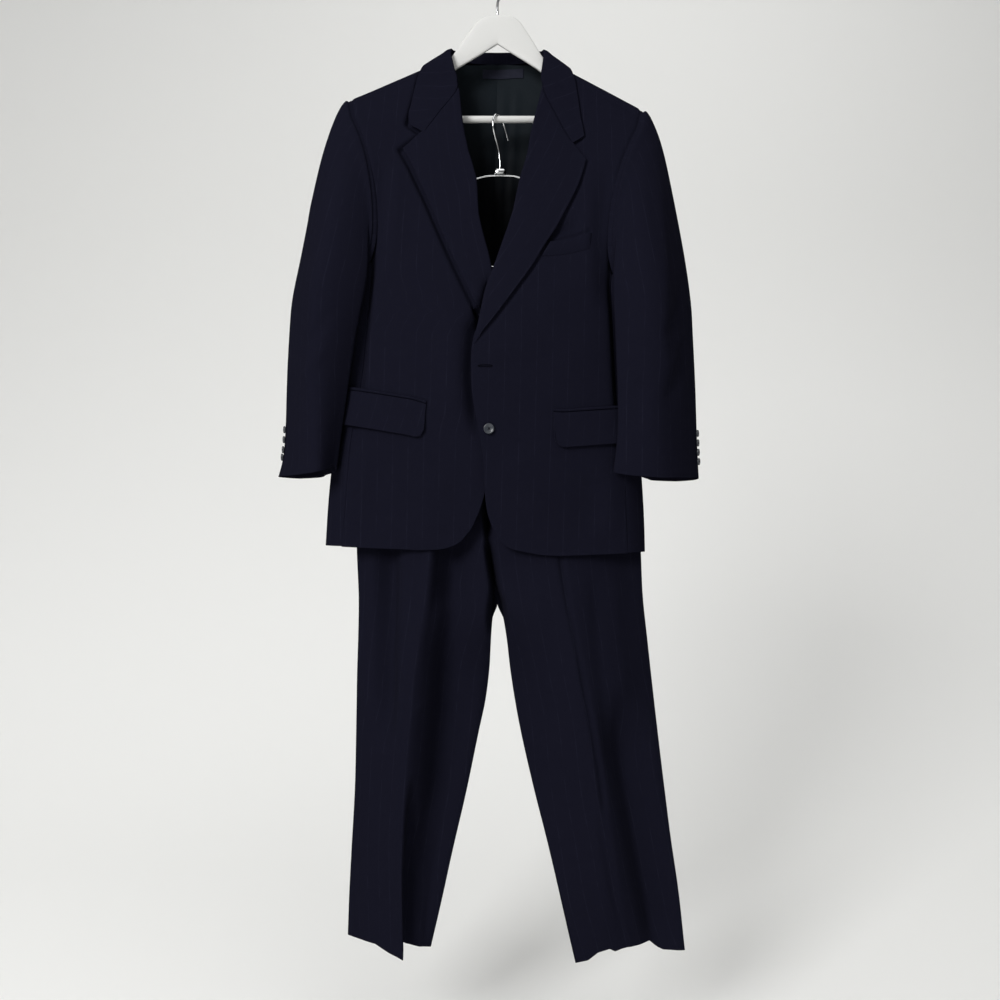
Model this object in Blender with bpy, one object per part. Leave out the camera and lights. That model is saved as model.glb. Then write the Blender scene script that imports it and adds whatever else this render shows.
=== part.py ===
"""A two-piece suit, jacket over trousers, on its two hangers.

Lengths are in millimetres and turn into metres where a mesh is made. The origin is the inner top of the
wooden hanger's hook: X runs towards the wearer's left, Y towards the back, and everything hangs below, so
places are given by their drop under the origin. The jacket's panels are drawn evenly about X = 0 and then
moved by hang(), because the jacket hangs a little lower on one side and its hem swings to the other.
"""

import math
from collections import namedtuple

import bmesh
import bpy
from mathutils import Vector
from mathutils.bvhtree import BVHTree

MM = 0.001
CLOTH = 1.8  # wall of the suit cloth with its backing
LINING = 1.2
SEAM = 0.4  # gap between two pieces that are sewn together
REST = 0.8  # gap under what lies on a panel

# How the jacket hangs
TILT = 9.5  # the wearer's left side sinks and the right side rises by this much at the shoulders
TILT_TOP = 2.4  # along the shoulder line, which follows the hanger
TILT_TOP_FROM, TILT_TOP_TO = 150.0, 240.0  # drops between which it eases to the full tilt
TILT_HEM = 5.0
TILT_FROM, TILT_TO = 45.0, 125.0  # distance from the centre over which the tilt grows
TILT_FADE, TILT_FADED = 700.0, 900.0  # drops between which it eases to the hem's
SWING = 0.025  # sideways swing for each millimetre below the neck
NECK_DROP = 125.0

FRONT_TURN, BACK_TURN = 70, 62  # degrees that a body panel bends round from its centre to its side
ARMPIT_ROW, ARMPIT = 11, 480.0  # the last row of both panel tables that borders the sleeve, and its drop
SIDE_STEP = (0.62, 0.78)  # across and back: how both walls step inwards at a side seam
ARMHOLE_STEP = (0.35, 0.94)  # and along the armhole

# Front panel, a row for each section from the shoulder seam to the hem: its inner end on the lapping
# front and on the one beneath, first along the lapel's roll line and then down the front edge, and its
# outer end along the armhole and then the seam with the side body. x is measured from the centre line.
FrontRow = namedtuple("FrontRow", "in_drop over_x over_y under_x under_y out_drop out_x out_y")
FRONT = [
    FrontRow(138, 79, 1, 79, 1, 213, 234, 0),
    FrontRow(141, 78.5, -7, 77.5, -7, 216.5, 233, -8),
    FrontRow(152, 77, -13, 71, -13, 229, 230, -15),
    FrontRow(172, 72, -17, 62, -16, 246, 226, -21),
    FrontRow(205, 69, -23, 56.5, -22, 268, 216, -28),
    FrontRow(243, 65, -29, 51.5, -27, 300, 203.5, -36),
    FrontRow(287, 59, -37, 44, -34, 335, 194, -44),
    FrontRow(331, 51, -45, 36.5, -42, 370, 187.5, -50),
    FrontRow(373, 39.5, -53, 29.5, -50, 402, 184, -54),
    FrontRow(414, 26.6, -61, 22, -57, 432, 183, -56),
    FrontRow(450, 15, -67, 13, -62, 458, 185, -56),
    FrontRow(484, 4.5, -73, 3, -66, 482, 191, -54),
    FrontRow(525, -9, -79, -8, -69, 525, 194, -53),
    FrontRow(568, -17, -85, -17, -70, 568, 197, -53),
    FrontRow(611, -26, -91, -26, -71, 611, 200, -52),
    FrontRow(652, -26.5, -89.5, -27, -72, 652, 203, -51),
    FrontRow(693, -22.5, -85, -23, -72, 693, 206, -49),
    FrontRow(738, -12.5, -80, -13, -70, 738, 210, -47),
    FrontRow(785, -5, -75, -5, -66, 785, 214, -45),
    FrontRow(835, -1.2, -68, 2, -60, 828, 217, -43),
    FrontRow(870, 5, -63, 13, -56, 862, 219, -41),
    FrontRow(897, 17.5, -60, 28, -53.5, 888, 221, -40),
    FrontRow(914, 31, -58, 47, -52, 904, 222, -39),
    FrontRow(922, 52, -56.5, 72, -51, 914, 223, -38.5),
    FrontRow(926, 84, -56, 105, -50, 922, 223.5, -38),
]

# Back panel: its inner end round the neck and then down the centre seam, its outer end along the
# armhole and then the seam with the side body.
BackRow = namedtuple("BackRow", "in_drop in_x in_y out_drop out_x out_y")
BACK = [
    BackRow(138, 79, 2, 213, 234, 1),
    BackRow(136.7, 76.5, 10, 216.5, 233, 9),
    BackRow(133.2, 69, 23, 228, 231, 17),
    BackRow(131, 56, 34.5, 246, 226, 24),
    BackRow(128.8, 31, 44.3, 272, 219, 31),
    BackRow(128, 0, 48, 300, 212, 36),
    BackRow(165, 0, 52.5, 332, 206, 41),
    BackRow(215, 0, 56.5, 368, 202, 45),
    BackRow(270, 0, 59, 402, 200, 48),
    BackRow(330, 0, 60, 436, 199, 50),
    BackRow(395, 0, 61, 462, 199, 50),
    BackRow(455, 0, 61, 484, 200, 50),
    BackRow(520, 0, 60, 525, 201, 49),
    BackRow(590, 0, 57, 590, 203, 47),
    BackRow(660, 0, 53, 660, 207, 44),
    BackRow(730, 0, 49, 730, 211, 41),
    BackRow(800, 0, 46, 800, 216, 38),
    BackRow(862, 0, 44, 862, 220, 36),
    BackRow(919, 0, 43, 921, 223.5, 34),
]

# Side body, between the front and the back: how far out it stands half way, at each drop
SideRow = namedtuple("SideRow", "drop out_x")
SIDE = [
    SideRow(484, 224),
    SideRow(525, 226),
    SideRow(590, 230),
    SideRow(660, 235),
    SideRow(730, 240),
    SideRow(800, 247),
    SideRow(862, 252),
    SideRow(921, 255),
]
SIDE_COLUMNS = 6
UNDERARM_DIP = 9.0  # how far the armhole's bottom dips below the side body's corners

# Collar, from the centre of the back neck to the notch: the fold, and the outer edge that it falls to.
CollarRow = namedtuple("CollarRow", "fold_x fold_drop fold_y edge_x edge_drop edge_y")
COLLAR = [
    CollarRow(0, 107, 48, 0, 152, 55.5),
    CollarRow(31, 107.8, 44, 38, 152, 54),
    CollarRow(55, 110.5, 33.5, 72, 152, 46.5),
    CollarRow(70, 116.5, 18.5, 92, 150, 35),
    CollarRow(73, 121, 3, 104.5, 146.5, 10),
    CollarRow(73.5, 134, -12.5, 115, 156.5, -15),
    CollarRow(71, 160, -21, 123, 174, -19.5),
    CollarRow(69.5, 180, -24, 128.5, 200, -22),
    CollarRow(71, 197, -25.5, 134, 228, -28),
    CollarRow(93.5, 237, -31, 139, 247, -32),
    CollarRow(117, 276.5, -38, 137, 262, -35),
]
COLLAR_ROLL = 4.0  # how far the fold stands out before the collar falls
COLLAR_ON_FRONT = 6  # from this row on the collar lies on the front panel
COLLAR_COLUMNS = 5
STAND = [(0, 46.4), (29.5, 42.3), (53.5, 32.2), (69.5, 18.5), (74.5, 9.5)]  # x and y of the stand's foot
STAND_FOOT, STAND_RISE = 127.2, 9.0  # its foot's drop at the back, and how much lower it is at the sides
STAND_UNDER_FOLD = 2.6

# Lapels: the gorge seam, the notch, the tip, and the outer edge down to the break
Lapel = namedtuple("Lapel", "gorge notch tip edge")
LAPEL_OVER = Lapel(
    (72, 200), (117.5, 279), (142.6, 304),
    [(133, 340), (112, 388), (95.5, 423), (82, 447), (62, 486), (35, 527), (5, 569), (-15, 597)],
)
LAPEL_UNDER = Lapel(
    (60, 200), (109, 279), (143.5, 305),
    [(130, 328), (116, 357), (98, 393), (79, 433), (60, 471), (41, 508), (16, 556), (-13, 597)],
)
LAPEL_COLUMNS = 6

# Pockets, on the lapping side and on the one beneath: inner end of the flap, its length, its drop
Pocket = namedtuple("Pocket", "x drop length rise")
FLAP_OVER = Pocket(99, 703, 124, 0.085)
FLAP_UNDER = Pocket(94, 704, 134, 0.17)
FLAP_DEPTH = 53.0
FLAP_CORNER = 14.0
FLAP_STAND_OFF = 1.3  # how much further its outer end stands off the side body
JET_DEPTH = 5.0
WELT = [(89, 443), (152, 424), (150, 449), (77, 468)]  # breast welt's corners, clockwise from the lapel

# Sleeves: outermost, the ridge at the front, the inner front edge, the back, at each drop
SleeveRow = namedtuple("SleeveRow", "drop outer_x outer_y ridge_x ridge_y inner_x inner_y back_x back_y")
SLEEVE_OVER = [
    SleeveRow(520, 319, -6, 256, -86, 190, -68, 262, 46),
    SleeveRow(600, 323, -8, 259, -83, 194.5, -67, 262, 38),
    SleeveRow(690, 328, -10, 262, -77, 200, -65, 266, 30),
    SleeveRow(752, 331, -12, 265, -73, 200, -63, 270, 24),
    SleeveRow(801, 334, -14, 267, -70, 196, -62, 274, 18),
]
SLEEVE_UNDER = [
    SleeveRow(520, 317, -4, 262, -88, 194, -68, 262, 46),
    SleeveRow(600, 320, -4, 264, -86, 208, -66, 262, 42),
    SleeveRow(690, 324, -3, 265, -82, 220, -60, 264, 37),
    SleeveRow(752, 328, -2, 265, -79, 229, -56, 268, 33),
    SleeveRow(813, 333, -1, 264, -76, 237, -52, 274, 29),
]
SLEEVE_OFF_BODY = 7.0  # the sleeve's inner side clears the side body by this much
SLEEVE_HEAD = [0.12, 0.28, 0.46, 0.64, 0.82]  # rings between the armhole and the first row
SLEEVE_OFF_ARMHOLE = 1.4
SLEEVE_SEAMS = (0.35, 0.80)  # shares of the way round at which its inner and its back seam lie

# Trousers, a row for each section of one leg: the outseam, the pressed front crease, the inner edge
# (centre front seam down to the fork, then the inseam) and the back crease
LegRow = namedtuple("LegRow", "drop out_x out_y crease_x crease_y in_x in_y back_x back_y")
LEG_LEFT = [
    LegRow(530.5, 200, 0, 90, -5.5, 0.4, -5.5, 92, 5.5),
    LegRow(575, 203, 0, 91, -20, 0.4, -19.5, 93, 17),
    LegRow(640, 207, 0, 92, -30.5, 0.4, -30, 94, 26),
    LegRow(710, 213, 0, 93, -36, 0.4, -33, 96, 31),
    LegRow(775, 219, 0, 94, -40, 0.4, -27, 100, 33),
    LegRow(842, 225, 0, 95, -43, 0.4, -4, 104, 34),
    LegRow(921, 229, 0, 97, -45, 1, 8, 108, 34),
    LegRow(1005, 233, 0, 108, -53, 5, 12, 114, 44),
    LegRow(1060, 239, 0, 117, -58, 14, 12, 120, 54),
    LegRow(1120, 245.5, 0, 125.5, -60, 21, 8, 128.5, 60),
    LegRow(1182, 252, -4, 139, -59, 31, 0, 139, 64),
    LegRow(1290, 264, -10, 152, -55, 55, -16, 159, 66),
    LegRow(1382, 275, -15, 169, -52, 79, -35, 177, 66),
    LegRow(1458, 285.5, -20, 181.5, -49, 97.5, -50, 190, 64),
    LegRow(1549, 295, -25, 201, -47, 120, -62, 206, 62),
]
LEG_RIGHT = [
    LegRow(530.5, 212, 0, 94, -5.5, 0.4, -5.5, 96, 5.5),
    LegRow(575, 214, 0, 95, -20, 0.4, -19.5, 97, 17),
    LegRow(640, 217, 0, 96, -30.5, 0.4, -30, 98, 26),
    LegRow(710, 220, 0, 98, -36, 0.4, -33, 100, 31),
    LegRow(775, 223, 0, 100, -40, 0.4, -27, 102, 33),
    LegRow(842, 225, 0, 103, -43, 0.4, -4, 105, 34),
    LegRow(921, 225, 0, 106, -45, 1, 8, 108, 34),
    LegRow(1005, 222, 0, 113, -54, 6, 12, 116, 48),
    LegRow(1060, 223, 1, 121, -59, 10, 11, 122, 60),
    LegRow(1120, 225, 2, 129, -61, 13.5, 8, 130, 68),
    LegRow(1166, 226, 3.5, 132.5, -61, 19.5, 5, 135.5, 72),
    LegRow(1212, 227, 5, 137, -61, 29.5, 1, 142, 76),
    LegRow(1305, 229.5, 8, 144, -62, 49, -5, 150, 81),
    LegRow(1412, 236, 13, 148, -63, 74, -11, 158, 84),
    LegRow(1480, 240, 17, 147, -64, 89, -15, 162, 85),
    LegRow(1549, 243, 21, 145, -65, 105, -20, 166, 85),
]
FORK_DROP = 842.0
LEG_COLUMNS = 4  # steps across each quarter of a leg
LEG_BULGE = 0.07  # how far a quarter's cloth stands out, against its width
WAIST_TOP, WAIST_SEAM = 491.0, 530.0
WAIST_X, WAIST_Y, WAIST_CENTRE = 206.5, 5.5, -6.0

# Buttons
BUTTON_R, BUTTON_THICK = 8.2, 3.6
BUTTON_LOW, BUTTON_HIGH = (2.6, 736), (1.5, 642)
CUFF_BUTTON_R, CUFF_BUTTON_THICK, CUFF_BUTTONS = 5.8, 2.8, 4
SEAT = 0.6  # gap under a cuff button
CUFF_BUTTON_UP, CUFF_BUTTON_STEP = 28.0, 14.5  # the lowest one above the cuff, and their spacing

# Back lining and label
LINING_ROWS = (2, 17)  # rows of the back table that it follows
LINING_OFF_BACK = 3.2
LABEL_X, LABEL_DROP, LABEL_THICK = (-24, 43), (136, 156), 0.9

# Wooden hanger: its upper and lower outline, from the middle to one end
HangerRow = namedtuple("HangerRow", "x top bottom")
HANGER = [
    HangerRow(0, 68, 115),
    HangerRow(14, 68.8, 124),
    HangerRow(25, 72, 131),
    HangerRow(34, 79, 136.5),
    HangerRow(44, 92.5, 142.5),
    HangerRow(54, 107, 148.5),
    HangerRow(63, 121, 154),
    HangerRow(72, 134.5, 160),
    HangerRow(80, 142.8, 165.5),
    HangerRow(92, 148.6, 172),
    HangerRow(120, 162.1, 186),
    HangerRow(160, 181.5, 203),
    HangerRow(184, 193.1, 213),
    HangerRow(187, 194.6, 248),
    HangerRow(205, 203.3, 254),
    HangerRow(218, 211, 250),
    HangerRow(224, 220, 241),
]
HANGER_THICK = 8.0
HANGER_EDGE = 3.0  # how far its edges are rounded
BAR_DROP, BAR_R, BAR_END = 235.2, 5.5, 184.2
HOOK_R, HOOK_WIRE = 20.0, 2.2
HOOK_FOOT = 67.6

# Wire hanger with two clips: half of its hook's route over the bar, its frame, its clips
CLIP_WIRE = 1.5
CLIP_HOOK = [
    (17, 262, 17), (13.5, 250, 15.5), (10, 239, 12.5), (6, 230.5, 7), (1.5, 227.6, 0), (-3.5, 231, -7.5),
    (-6.8, 240, -11.5), (-7.2, 250, -11.5), (-4.5, 263, -7), (0.5, 280, -2), (3.6, 297, 0), (4, 311.9, 0),
]
CLIP_X = 4.0
FRAME_TOP, FRAME_BAR, FRAME_HALF = 325.0, 471.0, 176.0
FRAME_SHOULDER = [(0, 0), (22, 1.2), (45, 7), (80, 22), (120, 46), (156, 74)]  # out and down from the top
FRAME_CORNER = 20.0
CLIP_AT, CLIP_WIDE, CLIP_TOP, CLIP_LOW = 146.0, 30.0, 473.0, 516.0
CLIP_GAP, CLIP_JAW = 5.8, 2.0
BRACKET = (20.0, 9.0, 9.0)
BALL_R = 4.2

# Colours (linear), roughness, metallic
FINISHES = {
    "suit_cloth": ((0.0075, 0.0077, 0.0145), 0.88, 0.0),
    "lining": ((0.022, 0.026, 0.030), 0.42, 0.0),
    "label": ((0.012, 0.014, 0.030), 0.6, 0.0),
    "button": ((0.012, 0.013, 0.018), 0.35, 0.0),
    "painted_wood": ((0.80, 0.80, 0.78), 0.35, 0.0),
    "chrome": ((0.75, 0.76, 0.77), 0.15, 1.0),
}


def at(x, drop, y):
    return Vector((x, y, -drop))


def ease(t):
    t = min(max(t, 0.0), 1.0)
    return t * t * (3 - 2 * t)


def tilt(point):
    """Sinks the wearer's left side and lifts the right, as the shoulders sit on the hanger."""
    reach = ease((abs(point.x) - TILT_FROM) / (TILT_TO - TILT_FROM))
    fade = ease((-point.z - TILT_FADE) / (TILT_FADED - TILT_FADE))
    full = ease((-point.z - TILT_TOP_FROM) / (TILT_TOP_TO - TILT_TOP_FROM))
    sink = (TILT_TOP + (TILT - TILT_TOP) * full + (TILT_HEM - TILT) * fade) * reach
    return Vector((point.x, point.y, point.z - math.copysign(sink, point.x)))


def hang(point):
    """The jacket's tilt, and the swing of its hem."""
    tilted = tilt(point)
    tilted.x -= SWING * (-point.z - NECK_DROP)
    return tilted


def still(point):
    return point


def material(name):
    found = bpy.data.materials.get(name)
    if found:
        return found
    color, roughness, metallic = FINISHES[name]
    made = bpy.data.materials.new(name)
    made.use_nodes = True
    shader = made.node_tree.nodes["Principled BSDF"]
    shader.inputs["Base Color"].default_value = (*color, 1)
    shader.inputs["Roughness"].default_value = roughness
    shader.inputs["Metallic"].default_value = metallic
    return made


def add_object(name, data, finish):
    made = bpy.data.objects.new(name, data)
    made.data.materials.append(material(finish))
    bpy.context.scene.collection.objects.link(made)
    return made


def add_mesh(name, bm, finish):
    bmesh.ops.recalc_face_normals(bm, faces=bm.faces)
    mesh = bpy.data.meshes.new(name)
    bm.to_mesh(mesh)
    bm.free()
    mesh.shade_smooth()
    mesh.set_sharp_from_angle(angle=math.radians(40))
    return add_object(name, mesh, finish)


# Grids of points: rows run down, columns run left to right as seen from outside


def flipped(grid):
    return [[Vector((-p.x, p.y, p.z)) for p in row] for row in grid]


def mirrored(grid):
    return reversed_rows(flipped(grid))


def reversed_rows(grid):
    return [row[::-1] for row in grid]


def grid_normals(grid, ring=False):
    """The outward direction at each point, across its neighbours."""
    rows, columns = len(grid), len(grid[0])
    normals = []
    for i in range(rows):
        line = []
        for j in range(columns):
            down = grid[min(i + 1, rows - 1)][j] - grid[max(i - 1, 0)][j]
            if ring:
                across = grid[i][(j + 1) % columns] - grid[i][j - 1]
            else:
                across = grid[i][min(j + 1, columns - 1)] - grid[i][max(j - 1, 0)]
            line.append(down.cross(across).normalized())
        normals.append(line)
    return normals


def trimmed(grid, left=0.0, right=0.0, top=0.0, bottom=0.0):
    """The grid with its borders drawn in by these distances, which leaves the gaps at the seams."""
    grid = [[p.copy() for p in row] for row in grid]
    for row in grid:
        row[0] += (row[1] - row[0]).normalized() * left
        row[-1] += (row[-2] - row[-1]).normalized() * right
    for j in range(len(grid[0])):
        grid[0][j] += (grid[1][j] - grid[0][j]).normalized() * top
        grid[-1][j] += (grid[-2][j] - grid[-1][j]).normalized() * bottom
    return grid


def mitred(direction, normal):
    """A wall's step inwards at a seam: along the seam's own direction, at the wall's full depth."""
    return direction / max(direction.dot(normal), 0.6)


def cloth_wall(
    name, grid, finish="suit_cloth", thickness=CLOTH, ring=False, place=still, borders=None, normals=None
):
    """A closed wall: the grid is its outer face. borders gives the inward step's direction at a seam."""
    rows, columns = len(grid), len(grid[0])
    normals = normals or grid_normals(grid, ring)
    picks = {
        "left": lambda i, j: j == 0,
        "right": lambda i, j: j == columns - 1,
        "top": lambda i, j: i == 0,
        "bottom": lambda i, j: i == rows - 1,
    }
    for side, direction in (borders or {}).items():
        for i in range(rows):
            for j in range(columns):
                if picks[side](i, j):
                    way = direction(grid[i][j]) if callable(direction) else direction
                    normals[i][j] = mitred(way.normalized(), normals[i][j])
    bm = bmesh.new()
    outer = [[bm.verts.new(place(p) * MM) for p in row] for row in grid]
    inner = [
        [bm.verts.new(place(p - n * thickness) * MM) for p, n in zip(row, line)]
        for row, line in zip(grid, normals)
    ]
    steps = columns if ring else columns - 1
    for i in range(rows - 1):
        for j in range(steps):
            k = (j + 1) % columns
            bm.faces.new((outer[i][j], outer[i + 1][j], outer[i + 1][k], outer[i][k]))
            bm.faces.new((inner[i][j], inner[i][k], inner[i + 1][k], inner[i + 1][j]))
    for j in range(steps):
        k = (j + 1) % columns
        bm.faces.new((outer[0][j], outer[0][k], inner[0][k], inner[0][j]))
        bm.faces.new((outer[-1][j], inner[-1][j], inner[-1][k], outer[-1][k]))
    if not ring:
        for i in range(rows - 1):
            bm.faces.new((outer[i][0], inner[i][0], inner[i + 1][0], outer[i + 1][0]))
            bm.faces.new((outer[i][-1], outer[i + 1][-1], inner[i + 1][-1], inner[i][-1]))
    return add_mesh(name, bm, finish)


def bowed_row(start, end, columns, turn):
    """Points from start to end, flat at the start and bending round by turn degrees at the end."""
    reach = math.radians(turn)
    row = []
    for j in range(columns):
        angle = reach * j / (columns - 1)
        across = math.sin(angle) / math.sin(reach)
        back = (1 - math.cos(angle)) / (1 - math.cos(reach))
        point = start.lerp(end, across)
        point.y = start.y + (end.y - start.y) * back
        row.append(point)
    return row


def tree_of(*grids):
    """The grids' faces, for finding the depth of what lies on them."""
    points, faces = [], []
    for grid in grids:
        rows, columns = len(grid), len(grid[0])
        first = len(points)
        points += [p for row in grid for p in row]
        for i in range(rows - 1):
            for j in range(columns - 1):
                a = first + i * columns + j
                faces.append((a, a + columns, a + columns + 1, a + 1))
    return BVHTree.FromPolygons(points, faces)


def on_front(tree, x, drop, lift):
    """The point that stands this far off the front, over x and drop."""
    hit, normal = tree.ray_cast(Vector((x, -500, -drop)), Vector((0, 1, 0)))[:2]
    if hit is None:
        hit, normal = tree.find_nearest(at(x, drop, -60))[:2]
        hit = at(x, drop, hit.y)
    return hit - normal * math.copysign(lift, normal.y)


# Jacket body


def front_half(over, columns=11):
    rows = []
    for r in FRONT:
        x, y = (r.over_x, r.over_y) if over else (r.under_x, r.under_y)
        rows.append(bowed_row(at(x, r.in_drop, y), at(r.out_x, r.out_drop, r.out_y), columns, FRONT_TURN))
    return rows


def back_half(columns=8):
    return [
        bowed_row(at(r.in_x, r.in_drop, r.in_y), at(r.out_x, r.out_drop, r.out_y), columns, BACK_TURN)
        for r in BACK
    ]


def read_off(table, value, columns):
    """The table's columns at a drop, on straight lines between its rows."""
    for a, b in zip(table, table[1:]):
        if value <= b[0]:
            break
    t = min(max((value - a[0]) / (b[0] - a[0]), 0), 1)
    return [a[c] + (b[c] - a[c]) * t for c in columns]


def side_point(drop, t):
    """A point round the side body, from its front seam at t = 0 to its back seam at t = 1."""
    out_x = read_off([(r.drop, r.out_x) for r in SIDE], drop, [1])[0]
    fx, fy = read_off([(r.out_drop, r.out_x, r.out_y) for r in FRONT[ARMPIT_ROW:]], drop, [1, 2])
    bx, by = read_off([(r.out_drop, r.out_x, r.out_y) for r in BACK[ARMPIT_ROW:]], drop, [1, 2])
    straight = fx + (bx - fx) * t
    return at(straight + (out_x - straight) * math.sin(math.pi * t) ** 0.8, drop, fy + (by - fy) * t)


def side_half():
    """Front seam to back seam, as seen from the wearer's left."""
    rows = []
    for k, r in enumerate(SIDE):
        row = []
        for j in range(SIDE_COLUMNS):
            t = j / (SIDE_COLUMNS - 1)
            point = side_point(r.drop, t)
            point.z -= UNDERARM_DIP * math.sin(math.pi * t) ** 0.5 if k == 0 else 0
            row.append(point)
        rows.append(row)
    return rows


def seam_way(sign, back):
    """The direction in which both panels at a side seam step inwards."""
    across, deep = SIDE_STEP
    return Vector((sign * across, deep if back else -deep, 0))


def make_body(sign, front, back, side):
    """The front, side and back panels of one half."""
    hand = "left" if sign > 0 else "right"
    way_front, way_back = seam_way(sign, False), seam_way(sign, True)
    hole_front, hole_back = (Vector((sign * ARMHOLE_STEP[0], k * ARMHOLE_STEP[1], 0)) for k in (-1, 1))
    round_neck, centre_back = Vector((-sign * 0.1, 0.5, 0.86)), Vector((0, 1, 0))
    up = Vector((0, 0, 1))
    outer, centre = ("right", "left") if sign > 0 else ("left", "right")
    panel = front if sign > 0 else mirrored(front)
    cloth_wall(
        f"jacket_front_{hand}", trimmed(panel, top=SEAM / 2, **{outer: SEAM / 2}), place=hang,
        borders={outer: lambda p: way_front if -p.z > ARMPIT else hole_front, "top": up},
    )
    panel = reversed_rows(back) if sign > 0 else mirrored(reversed_rows(back))
    cloth_wall(
        f"jacket_back_{hand}", trimmed(panel, top=SEAM / 2, **{centre: SEAM / 2, outer: SEAM / 2}),
        place=hang,
        borders={
            centre: lambda p: way_back if -p.z > ARMPIT else hole_back,
            outer: lambda p: centre_back if abs(p.x) < 1 else round_neck,
            "top": up,
        },
    )
    panel = side if sign > 0 else mirrored(side)
    cloth_wall(
        f"side_body_{hand}", trimmed(panel, left=SEAM / 2, right=SEAM / 2), place=hang,
        borders={centre: way_front, outer: way_back},
    )


# Sleeves


def armhole(front, side, back):
    """The armhole's edge, from the shoulder down the front, under the arm and up the back."""
    loop = [row[-1] for row in front[: ARMPIT_ROW + 1]]
    loop += side[0][1:-1]
    loop += [row[-1] for row in reversed(back[1 : ARMPIT_ROW + 1])]
    return loop


def loop_shares(loop):
    """How far round each point of a closed loop lies, from 0 to 1."""
    lengths = [(b - a).length for a, b in zip(loop, loop[1:] + loop[:1])]
    total = sum(lengths)
    shares, run = [], 0.0
    for length in lengths:
        shares.append(run / total)
        run += length
    return shares


def round_curve(points, share):
    """A point on the smooth closed curve through these points."""
    count = len(points)
    i = int(share * count) % count
    t = share * count - int(share * count)
    a, b, c, d = (points[(i + k) % count] for k in (-1, 0, 1, 2))
    return (
        b * 2 + (c - a) * t + (a * 2 - b * 5 + c * 4 - d) * t**2 + (b * 3 - a - c * 3 + d) * t**3
    ) / 2


def sleeve_ring(r):
    """The corners of one section: outermost, ridge, inner front edge, two beside the body, back."""
    near_front, near_side = side_point(r.drop, 0.12), side_point(r.drop, 0.45)
    return [
        at(r.outer_x, r.drop, r.outer_y),
        at(r.ridge_x, r.drop, r.ridge_y),
        at(r.inner_x, r.drop, r.inner_y),
        near_front + Vector((0.5, -0.87, 0)) * SLEEVE_OFF_BODY,
        near_side + Vector((0.95, -0.3, 0)) * SLEEVE_OFF_BODY,
        at(r.back_x, r.drop, r.back_y),
        at(r.outer_x - 10, r.drop, r.back_y * 0.62),
    ]


def sleeve_rings(table, loop):
    """Rings from the armhole, over the sleeve head, to the cuff."""
    shares = loop_shares(loop)
    start = [p + Vector((SLEEVE_OFF_ARMHOLE, 0, 0)) for p in loop]
    lower = [[round_curve(sleeve_ring(r), s) for s in shares] for r in table]
    rings = [start]
    for t in SLEEVE_HEAD:
        ring = []
        for p, q in zip(start, lower[0]):
            reach = (q - p).length
            out = p + Vector((0.09 * reach + 3, 0, -0.006 * reach))
            above = q + Vector((-0.07, 0, 0.38)) * reach
            u = 1 - t
            ring.append(p * u**3 + out * 3 * u**2 * t + above * 3 * u * t**2 + q * t**3)
        rings.append(ring)
    return rings + lower, shares


def make_sleeve(sign, table, loop):
    """Top sleeve and under sleeve, which meet at a seam inside the arm and one at its back."""
    hand = "left" if sign > 0 else "right"
    rings, shares = sleeve_rings(table, loop)
    normals = reversed_rows(grid_normals(reversed_rows(rings), ring=True))
    inside, behind = (next(k for k, s in enumerate(shares) if s > seam) for seam in SLEEVE_SEAMS)
    pieces = {
        f"sleeve_top_{hand}": lambda ring: ring[behind:] + ring[: inside + 1],
        f"sleeve_under_{hand}": lambda ring: ring[inside : behind + 1],
    }
    for name, cut in pieces.items():
        grid, ways = ([cut(ring) for ring in whole] for whole in (rings, normals))
        # seen from outside, the wearer's left sleeve runs the other way round
        grid, ways = (reversed_rows(x) if sign > 0 else flipped(x) for x in (grid, ways))
        cloth_wall(name, trimmed(grid, left=SEAM / 2, right=SEAM / 2), place=hang, normals=ways)
    return rings, behind


def make_cuff_buttons(sign, rings):
    """A row of buttons down the sleeve's outermost fold."""
    hand = "left" if sign > 0 else "right"
    low, high = rings[-1], rings[-2]
    for k in range(CUFF_BUTTONS):
        up = CUFF_BUTTON_UP + CUFF_BUTTON_STEP * k
        t = up / (high[0].z - low[0].z)
        fold, back = low[0].lerp(high[0], t), low[-1].lerp(high[-1], t)
        centre = fold.lerp(back, 0.5)
        along = (back - fold).normalized()
        way = Vector((0, 0, 1)).cross(along).normalized()
        way = way if way.x > 0 else -way
        place = centre + way * SEAT
        if sign < 0:
            place.x, way.x = -place.x, -way.x
        make_button(f"sleeve_button_{hand}_{k + 1}", hang(place), way, CUFF_BUTTON_R, CUFF_BUTTON_THICK, 12)


# What lies on the jacket's fronts


def patch(top, bottom, rows, columns):
    """Rows of (x, drop) between two lines of points that run the same way."""
    grid = []
    for i in range(rows):
        t = i / (rows - 1)
        row = []
        for j in range(columns):
            a, b = along_line(top, j / (columns - 1)), along_line(bottom, j / (columns - 1))
            row.append((a[0] + (b[0] - a[0]) * t, a[1] + (b[1] - a[1]) * t))
        grid.append(row)
    return grid


def along_line(points, share):
    """The place at this share of a line's points, counted by points and not by length."""
    k = min(int(share * (len(points) - 1)), len(points) - 2)
    t = share * (len(points) - 1) - k
    (ax, ad), (bx, bd) = points[k], points[k + 1]
    return ax + (bx - ax) * t, ad + (bd - ad) * t


def lay_on(name, flat, tree, sign, lift, stand_off=0.0):
    """A wall over the front through these (x, drop) rows, whose outer end stands off a little more."""
    last = len(flat[0]) - 1
    grid = [
        [on_front(tree, x, drop, lift + stand_off * j / last) for j, (x, drop) in enumerate(row)]
        for row in flat
    ]
    return cloth_wall(name, grid if sign > 0 else mirrored(grid), place=hang)


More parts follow.
